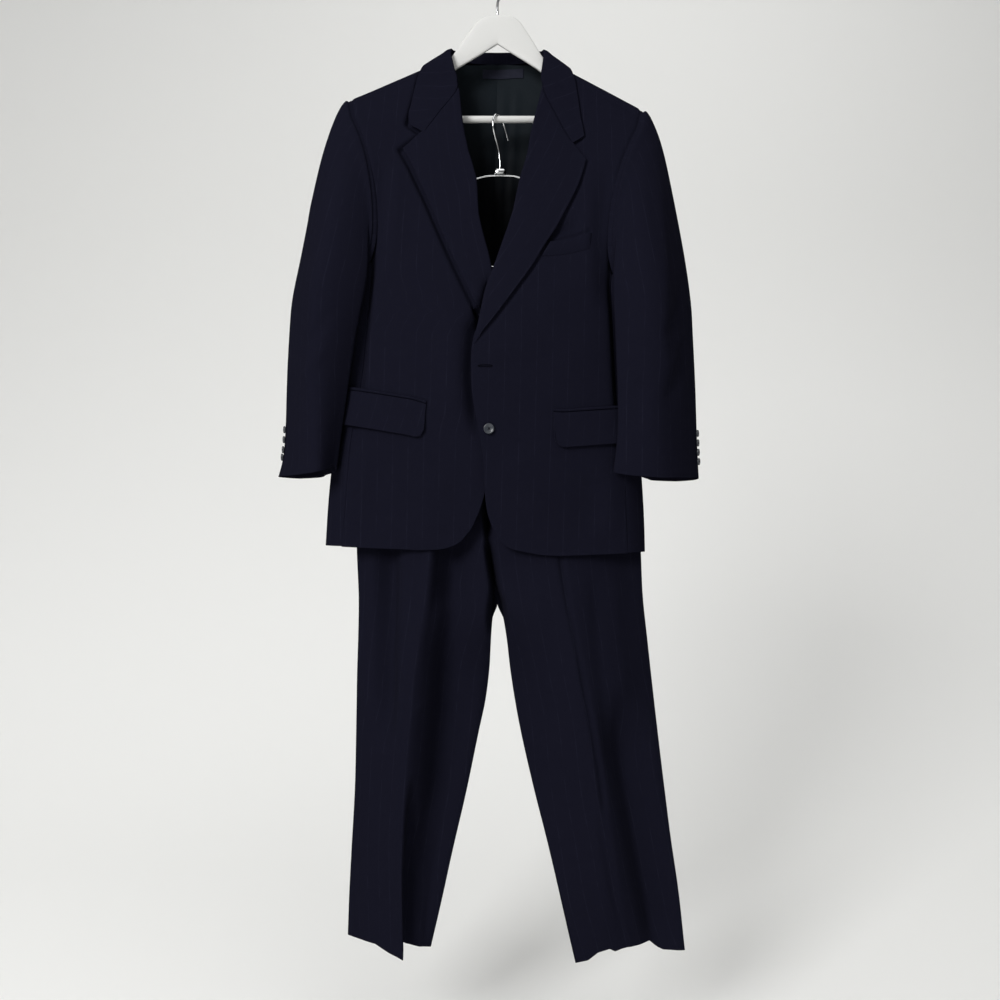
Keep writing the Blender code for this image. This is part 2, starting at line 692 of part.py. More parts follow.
def lapel_flat(lapel, rail):
    """Rows of (x, drop) from the roll line to the outer edge, the first along the gorge and notch."""
    edge = [lapel.tip] + lapel.edge
    top = [lapel.gorge] + [along_line([lapel.gorge, lapel.notch], t) for t in (0.33, 0.66)]
    top += [lapel.notch, along_line([lapel.notch, lapel.tip], 0.5), lapel.tip]
    rows = [top]
    first = lapel.gorge[1]
    for k in range(1, len(edge)):
        drop = first + (edge[-1][1] - first) * k / (len(edge) - 1)
        start = (rail(drop), drop)
        keep = max(0.0, 1 - k / 2.2)  # the gorge's kink fades over the first rows
        row = []
        for j in range(LAPEL_COLUMNS):
            t = j / (LAPEL_COLUMNS - 1)
            plain = along_line([start, edge[k]], t)
            straight = along_line([top[0], top[-1]], t)
            row.append(tuple(p + keep * (a - s) for p, a, s in zip(plain, top[j], straight)))
        rows.append(row)
    return rows


def make_lapel(sign, over, tree):
    hand = "left" if sign > 0 else "right"
    table = [(r.in_drop, r.over_x if over else r.under_x) for r in FRONT]
    rows = lapel_flat(LAPEL_OVER if over else LAPEL_UNDER, lambda drop: read_off(table, drop, [1])[0] + 0.6)
    lay_on(f"lapel_{hand}", rows, tree, sign, REST + CLOTH)


def make_pocket(sign, pocket, tree):
    """A flap with rounded lower corners, and the jet that shows above it."""
    hand = "left" if sign > 0 else "right"
    shares = (0, 0.04, 0.12, 0.3, 0.5, 0.66, 0.72, 0.78, 0.84, 0.9, 0.96, 1)
    top = [(pocket.x + pocket.length * t, pocket.drop - pocket.rise * pocket.length * t) for t in shares]
    bottom = []
    for x, drop in top:
        in_from_end = min(x - pocket.x, pocket.x + pocket.length - x)
        short = FLAP_CORNER - in_from_end
        cut = FLAP_CORNER - math.sqrt(FLAP_CORNER**2 - short**2) if short > 0 else 0
        bottom.append((x + 4, drop + FLAP_DEPTH - cut))
    flap = patch(top, bottom, 5, len(top))
    lay_on(f"pocket_flap_{hand}", flap, tree, sign, REST + CLOTH, FLAP_STAND_OFF)
    jet_low = [(x, drop - 0.8) for x, drop in top]
    jet_top = [(x, drop - JET_DEPTH - 0.8) for x, drop in top]
    jet = patch(jet_top, jet_low, 2, len(top))
    lay_on(f"pocket_jet_{hand}", jet, tree, sign, REST + CLOTH, FLAP_STAND_OFF)


def make_welt(tree):
    a, b, c, d = WELT
    lay_on("breast_welt", patch([a, b], [d, c], 4, 6), tree, 1, REST + CLOTH)


# Collar


def collar_half(tree):
    """Sections from the centre of the back to the notch, each from the fold out to the edge."""
    sections = []
    for k, r in enumerate(COLLAR):
        fold, edge = at(r.fold_x, r.fold_drop, r.fold_y), at(r.edge_x, r.edge_drop, r.edge_y)
        away = Vector((edge.x - fold.x, edge.y - fold.y, 0)).normalized()
        crest = fold + away * COLLAR_ROLL
        section = [fold]
        for j in range(COLLAR_COLUMNS):
            t = j / (COLLAR_COLUMNS - 1)
            section.append(crest.lerp(edge, t) + away * 2.0 * math.sin(math.pi * t))
        if k >= COLLAR_ON_FRONT:
            laid = [on_front(tree, p.x, -p.z, REST + CLOTH) for p in section]
            section = laid if k > COLLAR_ON_FRONT + 1 else [section[0]] + laid[1:]
        sections.append(section)
    return sections


def make_collar(tree_over, tree_under):
    left, right = collar_half(tree_over), collar_half(tree_under)
    right = [[Vector((-p.x, p.y, p.z)) for p in section] for section in right]
    sections = right[:0:-1] + left
    grid = [list(line) for line in zip(*sections)]  # rows from the fold to the edge
    cloth_wall("collar", [row[::-1] for row in grid], thickness=1.6, place=hang)


def make_stand():
    """The band inside the collar, from the neck seam up to the fold."""
    half = []
    for k, (x, y) in enumerate(STAND):
        foot = at(x, STAND_FOOT + STAND_RISE * (k / (len(STAND) - 1)) ** 2, y)
        fold_drop = COLLAR[k].fold_drop if k < 4 else 118.5
        half.append((foot, at(x * 0.985, fold_drop + STAND_UNDER_FOLD, y + 1.2)))
    whole = [tuple(Vector((-p.x, p.y, p.z)) for p in pair) for pair in half[:0:-1]] + half
    grid = [[pair[1] for pair in whole], [pair[0].lerp(pair[1], 0.5) for pair in whole],
            [pair[0] for pair in whole]]
    cloth_wall("collar_stand", grid, thickness=1.6, place=hang)


# Lining and label


def make_lining(back):
    """Inside each back panel, from the neck to just above the hem, and the blank label on both."""
    first, last = LINING_ROWS
    whole = reversed_rows(back)
    normals = grid_normals(whole)
    half = []
    for i in range(first, last + 1):
        off = CLOTH + (REST if i == first else LINING_OFF_BACK)
        row = [p - n * off for p, n in zip(whole[i][1:], normals[i][1:])]
        half.append([Vector((max(p.x, 0), p.y, p.z)) for p in row])
    straight = Vector((0, 1, 0))
    for hand, grid, centre in (("left", half, "right"), ("right", mirrored(half), "left")):
        cloth_wall(f"lining_back_{hand}", trimmed(grid, **{centre: SEAM / 2}), "lining", LINING, place=hang,
                   borders={centre: straight})
    inside = [[p - Vector((0, LINING, 0)) for p in row] for row in half]
    tree = tree_of(inside, flipped(inside))
    (x0, x1), (d0, d1) = LABEL_X, LABEL_DROP
    rows = []
    for i in range(3):
        drop = d0 + (d1 - d0) * i / 2
        rows.append([on_front(tree, x0 + (x1 - x0) * j / 5, drop, REST + LABEL_THICK) for j in range(6)])
    cloth_wall("neck_label", rows, "label", LABEL_THICK, place=hang)


# Trousers


def bulged(a, b, side):
    """Points from a to b with the cloth standing out a little to one side."""
    span = b - a
    out = Vector((span.y, -span.x, 0)).normalized() * side * span.length * LEG_BULGE
    points = []
    for j in range(LEG_COLUMNS + 1):
        t = j / LEG_COLUMNS
        point = a.lerp(b, t) + out * 4 * t * (1 - t)
        point.x = max(point.x, 0.4)
        points.append(point)
    return points


def leg_ways(loops, fork):
    """The outward direction at each point of a leg, round the whole leg below the fork."""
    ways = []
    last = len(loops[0]) - 1
    for i, loop in enumerate(loops):
        above, below = loops[max(i - 1, 0)], loops[min(i + 1, len(loops) - 1)]
        closed = -loop[0].z > fork
        line = []
        for j in range(last + 1):
            before = loop[j - 1] if j > 0 else loop[last - 1 if closed else 0]
            after = loop[j + 1] if j < last else loop[1 if closed else last]
            line.append((below[j] - above[j]).cross(after - before).normalized())
        if not closed:
            line[0], line[last] = Vector((0, -1, 0)), Vector((0, 1, 0))
        ways.append(line)
    return ways


def make_leg(sign, table):
    """Front and back panel of one leg, open at the waist and the hem."""
    hand = "left" if sign > 0 else "right"
    loops = []
    for r in table:
        out, crease = at(r.out_x, r.drop, r.out_y), at(r.crease_x, r.drop, r.crease_y)
        inner, behind = at(r.in_x, r.drop, r.in_y), at(r.back_x, r.drop, r.back_y)
        seat = inner if r.drop > FORK_DROP else at(r.in_x, r.drop, -r.in_y)
        corners = (inner, crease, out, behind, seat)
        loop = [inner]
        for a, b in zip(corners, corners[1:]):
            loop += bulged(a, b, 1)[1:]
        loops.append(loop)
    ways = leg_ways(loops, FORK_DROP)
    half = 2 * LEG_COLUMNS
    for name, part in ((f"trouser_front_{hand}", slice(0, half + 1)), (f"trouser_back_{hand}", slice(half, None))):
        grid, normals = ([row[part] for row in whole] for whole in (loops, ways))
        if sign < 0:
            grid, normals = mirrored(grid), mirrored(normals)
        cloth_wall(name, trimmed(grid, left=SEAM / 2, right=SEAM / 2), normals=normals)


def make_waistband():
    """A flat ring, pinched between the clips."""
    steps = 40
    rows = []
    for drop in (WAIST_TOP, (WAIST_TOP + WAIST_SEAM) / 2, WAIST_SEAM):
        ring = []
        for k in range(steps):
            angle = 2 * math.pi * k / steps
            x = WAIST_CENTRE + math.copysign(abs(math.sin(angle)) ** 0.8, math.sin(angle)) * WAIST_X
            y = math.copysign(abs(math.cos(angle)) ** 0.25, -math.cos(angle)) * WAIST_Y
            ring.append(at(x, drop, y))
        rows.append(ring)
    cloth_wall("waistband", rows, ring=True, thickness=2.0)


# Buttons


def make_button(name, centre, way, radius, thick, sides):
    """A round button with a raised rim, its back at centre and its face along way."""
    profile = [(0, 0), (radius * 0.9, 0), (radius, thick * 0.35), (radius, thick * 0.75),
               (radius * 0.88, thick), (radius * 0.68, thick * 0.86), (0, thick * 0.86)]
    bm = bmesh.new()
    line = [bm.verts.new((x * MM, 0, z * MM)) for x, z in profile]
    edges = [bm.edges.new(pair) for pair in zip(line, line[1:])]
    bmesh.ops.spin(bm, geom=line + edges, cent=(0, 0, 0), axis=(0, 0, 1), angle=math.tau, steps=sides,
                   use_merge=True)
    bmesh.ops.remove_doubles(bm, verts=bm.verts, dist=1e-6)
    turn = Vector((0, 0, 1)).rotation_difference(way)
    bmesh.ops.rotate(bm, verts=bm.verts, cent=(0, 0, 0), matrix=turn.to_matrix())
    bmesh.ops.translate(bm, verts=bm.verts, vec=centre * MM)
    add_mesh(name, bm, "button")


def make_front_buttons(tree_over, tree_under):
    """The lower one shows on the lapping front. The upper one is on the front beneath."""
    x, drop = BUTTON_LOW
    seat = on_front(tree_over, x, drop, REST) - Vector((0, 0.5, 0))
    make_button("button_lower", hang(seat), Vector((0, -1, 0)), BUTTON_R, BUTTON_THICK, 20)
    x, drop = BUTTON_HIGH
    seat = on_front(tree_under, x, drop, REST)
    seat.x = -seat.x
    make_button("button_upper", hang(seat), Vector((0, -1, 0)), BUTTON_R, BUTTON_THICK, 16)


# Hangers


def hanger_section(x, top, bottom):
    """A flat oval across the hanger: its corners are cut twice."""
    half, edge = HANGER_THICK / 2, HANGER_EDGE
    y_z = [
        (0, top), (half - edge, top), (half - 0.3 * edge, top + 0.3 * edge), (half, top + edge),
        (half, bottom - edge), (half - 0.3 * edge, bottom - 0.3 * edge), (half - edge, bottom), (0, bottom),
    ]
    loop = y_z + [(-y, drop) for y, drop in reversed(y_z[1:-1])]
    return [hang(at(x, drop, y)) * MM for y, drop in loop]


def loft(name, sections, finish):
    """A closed skin through sections with the same number of points."""
    bm = bmesh.new()
    rings = [[bm.verts.new(p) for p in section] for section in sections]
    count = len(rings[0])
    for a, b in zip(rings, rings[1:]):
        for j in range(count):
            k = (j + 1) % count
            bm.faces.new((a[j], a[k], b[k], b[j]))
    bm.faces.new(rings[0])
    bm.faces.new(rings[-1])
    return add_mesh(name, bm, finish)


def make_wire(name, points, radius, closed=False, finish="chrome"):
    """A round wire through points given in millimetres."""
    curve = bpy.data.curves.new(name, "CURVE")
    curve.dimensions = "3D"
    curve.bevel_depth = radius * MM
    curve.bevel_resolution = 2
    curve.use_fill_caps = True
    line = curve.splines.new("POLY")
    line.points.add(len(points) - 1)
    line.use_cyclic_u = closed
    for spot, point in zip(line.points, points):
        spot.co = (*(point * MM), 1)
    return add_object(name, curve, finish)


def make_wooden_hanger():
    half = [hanger_section(r.x, r.top, r.bottom) for r in HANGER]
    other = [hanger_section(-r.x, r.top, r.bottom) for r in HANGER[:0:-1]]
    loft("hanger_body", other + half, "painted_wood")
    swung = SWING * (BAR_DROP - NECK_DROP)
    ends = [at(side * BAR_END - swung, BAR_DROP, 0) for side in (-1, 1)]
    make_wire("hanger_bar", ends, BAR_R, finish="painted_wood")
    centre = HOOK_R - HOOK_WIRE
    route = [at(0, HOOK_FOOT, 0), at(0, 52, 0), at(0.8, 46.5, 0), at(4.5, 41, 0)]
    for k in range(17):
        angle = math.radians(-62 + 15.5 * k)
        route.append(at(HOOK_R * math.cos(angle), centre - HOOK_R * math.sin(angle), 0))
    make_wire("hanger_hook", route, HOOK_WIRE)


def arc_points(centre, radius, start, end, steps):
    return [
        (centre[0] + radius * math.cos(math.radians(start + (end - start) * k / steps)),
         centre[1] - radius * math.sin(math.radians(start + (end - start) * k / steps)))
        for k in range(steps + 1)
    ]


def make_clip_hanger():
    make_wire("clip_hook", [at(*p) for p in CLIP_HOOK], CLIP_WIRE)
    half = [(x, FRAME_TOP + d) for x, d in FRAME_SHOULDER]
    inset = FRAME_HALF - FRAME_CORNER
    half += arc_points((inset, FRAME_BAR - FRAME_CORNER), FRAME_CORNER, 40, -90, 6)
    half += [(90, FRAME_BAR), (0, FRAME_BAR)]
    loop = half + [(-x, d) for x, d in reversed(half[1:-1])]
    make_wire("clip_frame", [at(CLIP_X + x, d, 0) for x, d in loop], CLIP_WIRE, closed=True)
    make_bracket()
    for sign, hand in ((1, "left"), (-1, "right")):
        make_clip(f"clip_{hand}", CLIP_X + sign * CLIP_AT)


def make_bracket():
    """The small block that joins the hook to the frame, with the ball above it in one piece."""
    wide, deep, tall = BRACKET
    top = FRAME_TOP - CLIP_WIRE - 0.3
    bm = bmesh.new()
    rings = []
    for x_half, y_half, drop in (
        (1.6, 1.6, top - tall - 2 * BALL_R + 6.6), (BALL_R, BALL_R, top - tall - BALL_R + 3.2),
        (2.4, 2.4, top - tall + 0.4), (wide / 2, deep / 2, top - tall + 1.6), (wide / 2, deep / 2, top),
    ):
        ring = []
        for k in range(8):
            angle = math.tau * (k + 0.5) / 8
            ring.append(bm.verts.new(at(CLIP_X + x_half * math.cos(angle), drop, y_half * math.sin(angle)) * MM))
        rings.append(ring)
    for a, b in zip(rings, rings[1:]):
        for j in range(8):
            bm.faces.new((a[j], a[(j + 1) % 8], b[(j + 1) % 8], b[j]))
    bm.faces.new(rings[0])
    bm.faces.new(rings[-1])
    add_mesh("clip_bracket", bm, "chrome")


def make_clip(name, x):
    """Two jaws and the bridge between them, over the waistband's edge."""
    gap, outer = CLIP_GAP, CLIP_GAP + CLIP_JAW
    profile = [
        (-outer, CLIP_LOW), (-outer, CLIP_TOP + 3), (-outer + 3, CLIP_TOP), (outer - 3, CLIP_TOP),
        (outer, CLIP_TOP + 3), (outer, CLIP_LOW), (gap, CLIP_LOW), (gap, CLIP_TOP + 6), (-gap, CLIP_TOP + 6),
        (-gap, CLIP_LOW),
    ]
    sections = [
        [at(x + side * CLIP_WIDE / 2, drop, y) * MM for y, drop in profile] for side in (-1, 1)
    ]
    loft(name, sections, "chrome")


def clear_scene():
    for old in list(bpy.data.objects):
        bpy.data.objects.remove(old, do_unlink=True)


def main():
    clear_scene()
    over, under, back, side = front_half(True), front_half(False), back_half(), side_half()
    make_body(1, over, back, side)
    make_body(-1, under, back, side)
    tree_over, tree_under = tree_of(over, side), tree_of(under, side)
    for sign, panel, tree, table, pocket in (
        (1, over, tree_over, SLEEVE_OVER, FLAP_OVER),
        (-1, under, tree_under, SLEEVE_UNDER, FLAP_UNDER),
    ):
        rings, behind = make_sleeve(sign, table, armhole(panel, side, back))
        make_cuff_buttons(sign, rings)
        make_lapel(sign, sign > 0, tree)
        make_pocket(sign, pocket, tree)
    make_welt(tree_over)
    make_collar(tree_over, tree_under)
    make_stand()
    make_lining(back)
    make_front_buttons(tree_over, tree_under)
    make_leg(1, LEG_LEFT)
    make_leg(-1, LEG_RIGHT)
    make_waistband()
    make_wooden_hanger()
    make_clip_hanger()


main()
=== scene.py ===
import math

import bmesh
import bpy
import numpy as np
from mathutils import Matrix, Vector
from mathutils.bvhtree import BVHTree


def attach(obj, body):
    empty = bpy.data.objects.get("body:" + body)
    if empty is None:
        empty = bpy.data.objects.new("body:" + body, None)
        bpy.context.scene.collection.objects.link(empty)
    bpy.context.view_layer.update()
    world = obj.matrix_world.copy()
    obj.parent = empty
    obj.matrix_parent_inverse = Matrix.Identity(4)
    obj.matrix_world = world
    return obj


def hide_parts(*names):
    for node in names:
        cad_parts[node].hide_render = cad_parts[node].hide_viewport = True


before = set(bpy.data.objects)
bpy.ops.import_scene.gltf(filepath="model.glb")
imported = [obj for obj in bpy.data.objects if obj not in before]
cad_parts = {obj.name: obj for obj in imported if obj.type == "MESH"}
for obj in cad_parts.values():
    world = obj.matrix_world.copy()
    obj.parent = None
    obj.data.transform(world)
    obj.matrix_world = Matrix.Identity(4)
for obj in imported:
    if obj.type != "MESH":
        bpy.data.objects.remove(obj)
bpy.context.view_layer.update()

# lengths are in millimetres until a mesh is made; x runs to the wearer's left, y to the back, z up
mm = 0.001

# the jacket is drawn evenly about x = 0, then its left side sinks and its hem swings to the right
hanging = {
    "tiltTop": 2.4, "topFrom": 150.0, "topTo": 240.0,
    "tilt": 9.5, "tiltFrom": 45.0, "tiltTo": 125.0,
    "tiltHem": 5.0, "fadeFrom": 700.0, "fadeTo": 900.0,
    "swing": 0.025, "neckDrop": 125.0,
}


def ease(t):
    t = np.clip(t, 0.0, 1.0)
    return t * t * (3 - 2 * t)


def between(value, low, high):
    # 0 up to low, 1 from high on, eased in between
    return ease((value - low) / (high - low))


def hang(points):
    # the lean of the jacket, given to all that hangs with it
    points = np.array(points, float)
    x, drop = points[..., 0].copy(), -points[..., 2]
    reach = between(np.abs(x), hanging["tiltFrom"], hanging["tiltTo"])
    full = between(drop, hanging["topFrom"], hanging["topTo"])
    fade = between(drop, hanging["fadeFrom"], hanging["fadeTo"])
    sink = hanging["tiltTop"] + (hanging["tilt"] - hanging["tiltTop"]) * full
    sink = sink + (hanging["tiltHem"] - hanging["tilt"]) * fade
    points[..., 2] -= np.sign(x) * sink * reach
    points[..., 0] -= hanging["swing"] * (drop - hanging["neckDrop"])
    return points


def asDrawn(points):
    return np.array(points, float)


def unit(v):
    return v / np.maximum(np.linalg.norm(v, axis=-1, keepdims=True), 1e-9)


def steps(knots, gap):
    # places between the knots, no further apart than gap, with the knots among them
    found = [knots[0]]
    for a, b in zip(knots, knots[1:]):
        count = max(1, math.ceil(abs(b - a) / gap))
        found += [a + (b - a) * k / count for k in range(1, count + 1)]
    return np.array(found, float)


def curve(knots, values, places):
    # a smooth curve through the values at the knots, read at each place
    knots, values, places = np.asarray(knots, float), np.asarray(values, float), np.asarray(places, float)
    slopes = np.gradient(values, knots, axis=0)
    k = np.clip(np.searchsorted(knots, places, side="right") - 1, 0, len(knots) - 2)
    span = (knots[k + 1] - knots[k])[:, None]
    t = np.clip((places - knots[k])[:, None] / span, 0, 1)
    return (
        (2 * t**3 - 3 * t**2 + 1) * values[k] + (t**3 - 2 * t**2 + t) * span * slopes[k]
        + (3 * t**2 - 2 * t**3) * values[k + 1] + (t**3 - t**2) * span * slopes[k + 1]
    )


def runAlong(path):
    # distance of each point from the first, along the path
    return np.concatenate([[0], np.cumsum(np.linalg.norm(np.diff(path, axis=0), axis=1))])


def runAcross(grid):
    # distance of each point from its row's first, along the row
    gaps = np.linalg.norm(np.diff(grid, axis=1), axis=2)
    return np.concatenate([np.zeros((len(grid), 1)), np.cumsum(gaps, axis=1)], axis=1)


def alongPath(path, count):
    # evenly spaced points on a smooth curve through a path of points
    path = np.array(path, float)
    run = runAlong(path)
    return curve(run, path, np.linspace(0, run[-1], count))


def outward(grid, ring=False):
    # rows run down and columns left to right as seen from outside
    down = np.gradient(grid, axis=0)
    if ring:
        across = np.roll(grid[:, :-1], -1, axis=1) - np.roll(grid[:, :-1], 1, axis=1)
        across = np.concatenate([across, across[:, :1]], axis=1)
    else:
        across = np.gradient(grid, axis=1)
    return unit(np.cross(down, across))


def facing(grid, inside):
    # turns the columns round where the grid would face the hollow
    i, j = grid.shape[0] // 2, grid.shape[1] // 2
    away = grid[i, j, :2] - np.array(inside, float)
    return grid if outward(grid)[i, j, :2] @ away > 0 else grid[:, ::-1]


def swells(grid, strokes, part=1.0, fade=4.0):
    # height of soft ridges and troughs; each follows a path of (x, drop) and fades at its ends
    total = np.zeros(grid.shape[:2])
    x, drop = grid[..., 0], -grid[..., 2]
    for path, wide, high in strokes:
        path = np.array(path, float)
        lengths = np.hypot(*np.diff(path, axis=0).T)
        near, along, run = np.full(x.shape, 1e9), np.zeros(x.shape), 0.0
        for a, b, length in zip(path, path[1:], lengths):
            way = (b - a) / length
            t = np.clip((x - a[0]) * way[0] + (drop - a[1]) * way[1], 0, length)
            gap = np.hypot(x - a[0] - way[0] * t, drop - a[1] - way[1] * t)
            along = np.where(gap < near, (run + t) / lengths.sum(), along)
            near = np.minimum(gap, near)
            run += length
        total += high * np.exp(-((near / wide) ** 2)) * ease(np.minimum(along, 1 - along) * fade)
    return total * part


def uneven(grid, high, phase):
    # slow hills that keep hanging cloth from looking pressed flat
    x, drop = grid[..., 0] + 0.5 * grid[..., 1], -grid[..., 2]
    slow = np.sin(x / 33 + drop / 103 + phase) * np.sin(drop / 61 - x / 79 + 2 * phase)
    quick = np.sin(x / 15 - drop / 71 + 3 * phase) * np.sin(drop / 37 + phase)
    return high * (slow + 0.4 * quick)


def lifted(grid, height):
    return grid + outward(grid) * height[..., None]


def drawnIn(grid, left=0.0, right=0.0, top=0.0):
    # leaves a seam's gap at the borders
    grid = grid.copy()
    grid[:, 0] += unit(grid[:, 1] - grid[:, 0]) * np.asarray(left, float).reshape(-1, 1)
    grid[:, -1] += unit(grid[:, -2] - grid[:, -1]) * np.asarray(right, float).reshape(-1, 1)
    grid[0] += unit(grid[1] - grid[0]) * top
    return grid


def crisp(grid, border=0.9):
    # a line of points close to each border keeps it crisp
    def inset(edge, towards):
        way = towards - edge
        half = 0.5 * np.linalg.norm(way, axis=-1, keepdims=True)
        return (edge + unit(way) * np.minimum(border, half))[None]

    def ends(g):
        return np.concatenate([g[:1], inset(g[0], g[1]), g[1:-1], inset(g[-1], g[-2]), g[-1:]])

    return ends(ends(grid).swapaxes(0, 1)).swapaxes(0, 1)


def rolledIn(grid, sides, depth=0.55):
    # borders at a seam sink a little, so that the seam shows as a soft valley
    grid, ways = grid.copy(), outward(grid)
    for side in sides:
        edge, next_ = {
            "left": (np.s_[:, 0], np.s_[:, 1]),
            "right": (np.s_[:, -1], np.s_[:, -2]),
            "top": (np.s_[0], np.s_[1]),
        }[side]
        grid[edge] -= ways[edge] * depth
        grid[next_] -= ways[next_] * depth * 0.3
    return grid


def sunkAlong(grid, side, rows, depth, reach):
    # sinks the cloth along the first rows of one border, deepest at the border
    run = runAcross(grid)
    gap = run if side == "left" else run[:, -1:] - run
    part = ease((rows - np.arange(len(grid))) / 8)[:, None]
    return grid - outward(grid) * (depth * part * np.exp(-((gap / reach) ** 2)))[..., None]


def grainOf(grid, anchor):
    # distance across the cloth from the anchor column, and down it
    run = runAcross(grid)
    column = anchor % grid.shape[1]
    start = grid[:, column, 0] if anchor in (0, -1) else np.zeros(len(grid))
    return start[:, None] + (run - run[:, column][:, None]), -grid[..., 2]


def skin(name, grid, shader, node=None, wall=0.0, ring=False, place=hang, anchor=0):
    # one surface through a grid of points, with the cloth's grain as its UV map
    rows, columns = grid.shape[:2]
    bm = bmesh.new()
    bmesh.ops.create_grid(bm, x_segments=columns - 1, y_segments=rows - 1, size=1)
    mesh = bpy.data.meshes.new(name)
    bm.to_mesh(mesh)
    bm.free()
    flat = np.empty(len(mesh.vertices) * 3)
    mesh.vertices.foreach_get("co", flat)
    flat = flat.reshape(-1, 3)
    j = np.rint((flat[:, 0] + 1) / 2 * (columns - 1)).astype(int)
    i = np.rint((1 - flat[:, 1]) / 2 * (rows - 1)).astype(int)
    placed = place(grid)
    mesh.vertices.foreach_set("co", (placed * mm)[i, j].ravel())
    across, down = grainOf(grid, anchor)
    corners = np.empty(len(mesh.loops), int)
    mesh.loops.foreach_get("vertex_index", corners)
    layer = mesh.uv_layers.new(name="grain")
    layer.data.foreach_set("uv", (np.stack([across[i, j], down[i, j]], 1)[corners] * mm).ravel())
    mesh.update()
    if ring:
        bm = bmesh.new()
        bm.from_mesh(mesh)
        bmesh.ops.remove_doubles(bm, verts=bm.verts, dist=1e-6)
        bm.to_mesh(mesh)
        bm.free()
    mesh.shade_smooth()
    piece = bpy.data.objects.new(name, mesh)
    bpy.context.scene.collection.objects.link(piece)
    piece.data.materials.append(shader)
    if wall:
        solid = piece.modifiers.new("wall", "SOLIDIFY")
        solid.thickness, solid.offset, solid.use_even_offset = wall * mm, -1.0, False
    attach(piece, "root")
    if node:
        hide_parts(node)
    return piece


suitCloth = {
    "ground": (0.0066, 0.0067, 0.0128), "stripe": (0.0103, 0.0105, 0.0190),
    "between": 0.0242, "stripeWide": 0.0012, "slub": 60, "slubFrom": 0.35, "slubTo": 0.65,
    "roughness": 0.9, "sheen": 0.003, "sheenRoughness": 0.5, "ior": 1.03, "specular": 0.02,
    "weave": 900, "relief": 0.25,
}
satin = {
    # painted shade: the satin's colour darkens low down inside the jacket, from the upper colour to the lower
    # one between these drops in metres, standing in for the shade the fronts cast there
    "upper": (0.0084, 0.0116, 0.0150), "lower": (0.0012, 0.0017, 0.0028), "from": 0.17, "to": 0.36,
    "roughness": 0.6, "specular": 0.04, "weave": 400, "relief": 0.10,
}
# base colour, roughness, metallic, specular
plain = {
    "label": ((0.0065, 0.0075, 0.017), 0.7, 0.0, 0.15),
    "button": ((0.030, 0.034, 0.042), 0.30, 0.0, 0.5),
    # the thread is darker than the cloth: its own colour, and on the buttonhole partly painted shade for the
    # slit
    "thread": ((0.0022, 0.0022, 0.0045), 0.9, 0.0, 0.02),
    "paintedWood": ((0.60, 0.60, 0.585), 0.35, 0.0, 0.4),
    "chrome": ((0.78, 0.79, 0.80), 0.14, 1.0, 0.5),
}


def plainMaterial(name, color, roughness, metallic=0.0, specular=0.5):
    made = bpy.data.materials.new(name)
    made.use_nodes = True
    shader = made.node_tree.nodes["Principled BSDF"]
    shader.inputs["Base Color"].default_value = (*color, 1)
    shader.inputs["Roughness"].default_value = roughness
    shader.inputs["Metallic"].default_value = metallic
    shader.inputs["Specular IOR Level"].default_value = specular
    return made, shader


def pinstripe(name, look):
    # faint woven stripes along the grain, over a fine uneven ground
    made, shader = plainMaterial(name, look["ground"], look["roughness"], 0.0, look["specular"])
    tree = made.node_tree
    shader.inputs["Sheen Weight"].default_value = look["sheen"]
    shader.inputs["Sheen Roughness"].default_value = look["sheenRoughness"]
    shader.inputs["IOR"].default_value = look["ior"]
    grain = tree.nodes.new("ShaderNodeUVMap")
    grain.uv_map = "grain"
    split = tree.nodes.new("ShaderNodeSeparateXYZ")
    tree.links.new(grain.outputs["UV"], split.inputs["Vector"])
    away = tree.nodes.new("ShaderNodeMath")
    away.operation = "PINGPONG"
    away.inputs[1].default_value = look["between"] / 2
    tree.links.new(split.outputs["X"], away.inputs[0])
    line = tree.nodes.new("ShaderNodeMapRange")
    line.interpolation_type = "SMOOTHSTEP"
    line.inputs["From Min"].default_value = look["stripeWide"] * 0.75
    line.inputs["From Max"].default_value = look["stripeWide"] * 0.25
    tree.links.new(away.outputs[0], line.inputs["Value"])
    slub = tree.nodes.new("ShaderNodeTexNoise")
    slub.inputs["Scale"].default_value = look["slub"]
    slub.inputs["Detail"].default_value = 2
    place = tree.nodes.new("ShaderNodeTexCoord")
    tree.links.new(place.outputs["Object"], slub.inputs["Vector"])
    broken = tree.nodes.new("ShaderNodeMapRange")
    broken.inputs["From Min"].default_value = look["slubFrom"]
    broken.inputs["From Max"].default_value = look["slubTo"]
    tree.links.new(slub.outputs["Fac"], broken.inputs["Value"])
    both = tree.nodes.new("ShaderNodeMath")
    both.operation = "MULTIPLY"
    tree.links.new(line.outputs["Result"], both.inputs[0])
    tree.links.new(broken.outputs["Result"], both.inputs[1])
    mix = tree.nodes.new("ShaderNodeMix")
    mix.data_type = "RGBA"
    mix.inputs["A"].default_value = (*look["ground"], 1)
    mix.inputs["B"].default_value = (*look["stripe"], 1)
    tree.links.new(both.outputs[0], mix.inputs["Factor"])
    tree.links.new(mix.outputs["Result"], shader.inputs["Base Color"])
    woven(shader, tree, look)
    return made


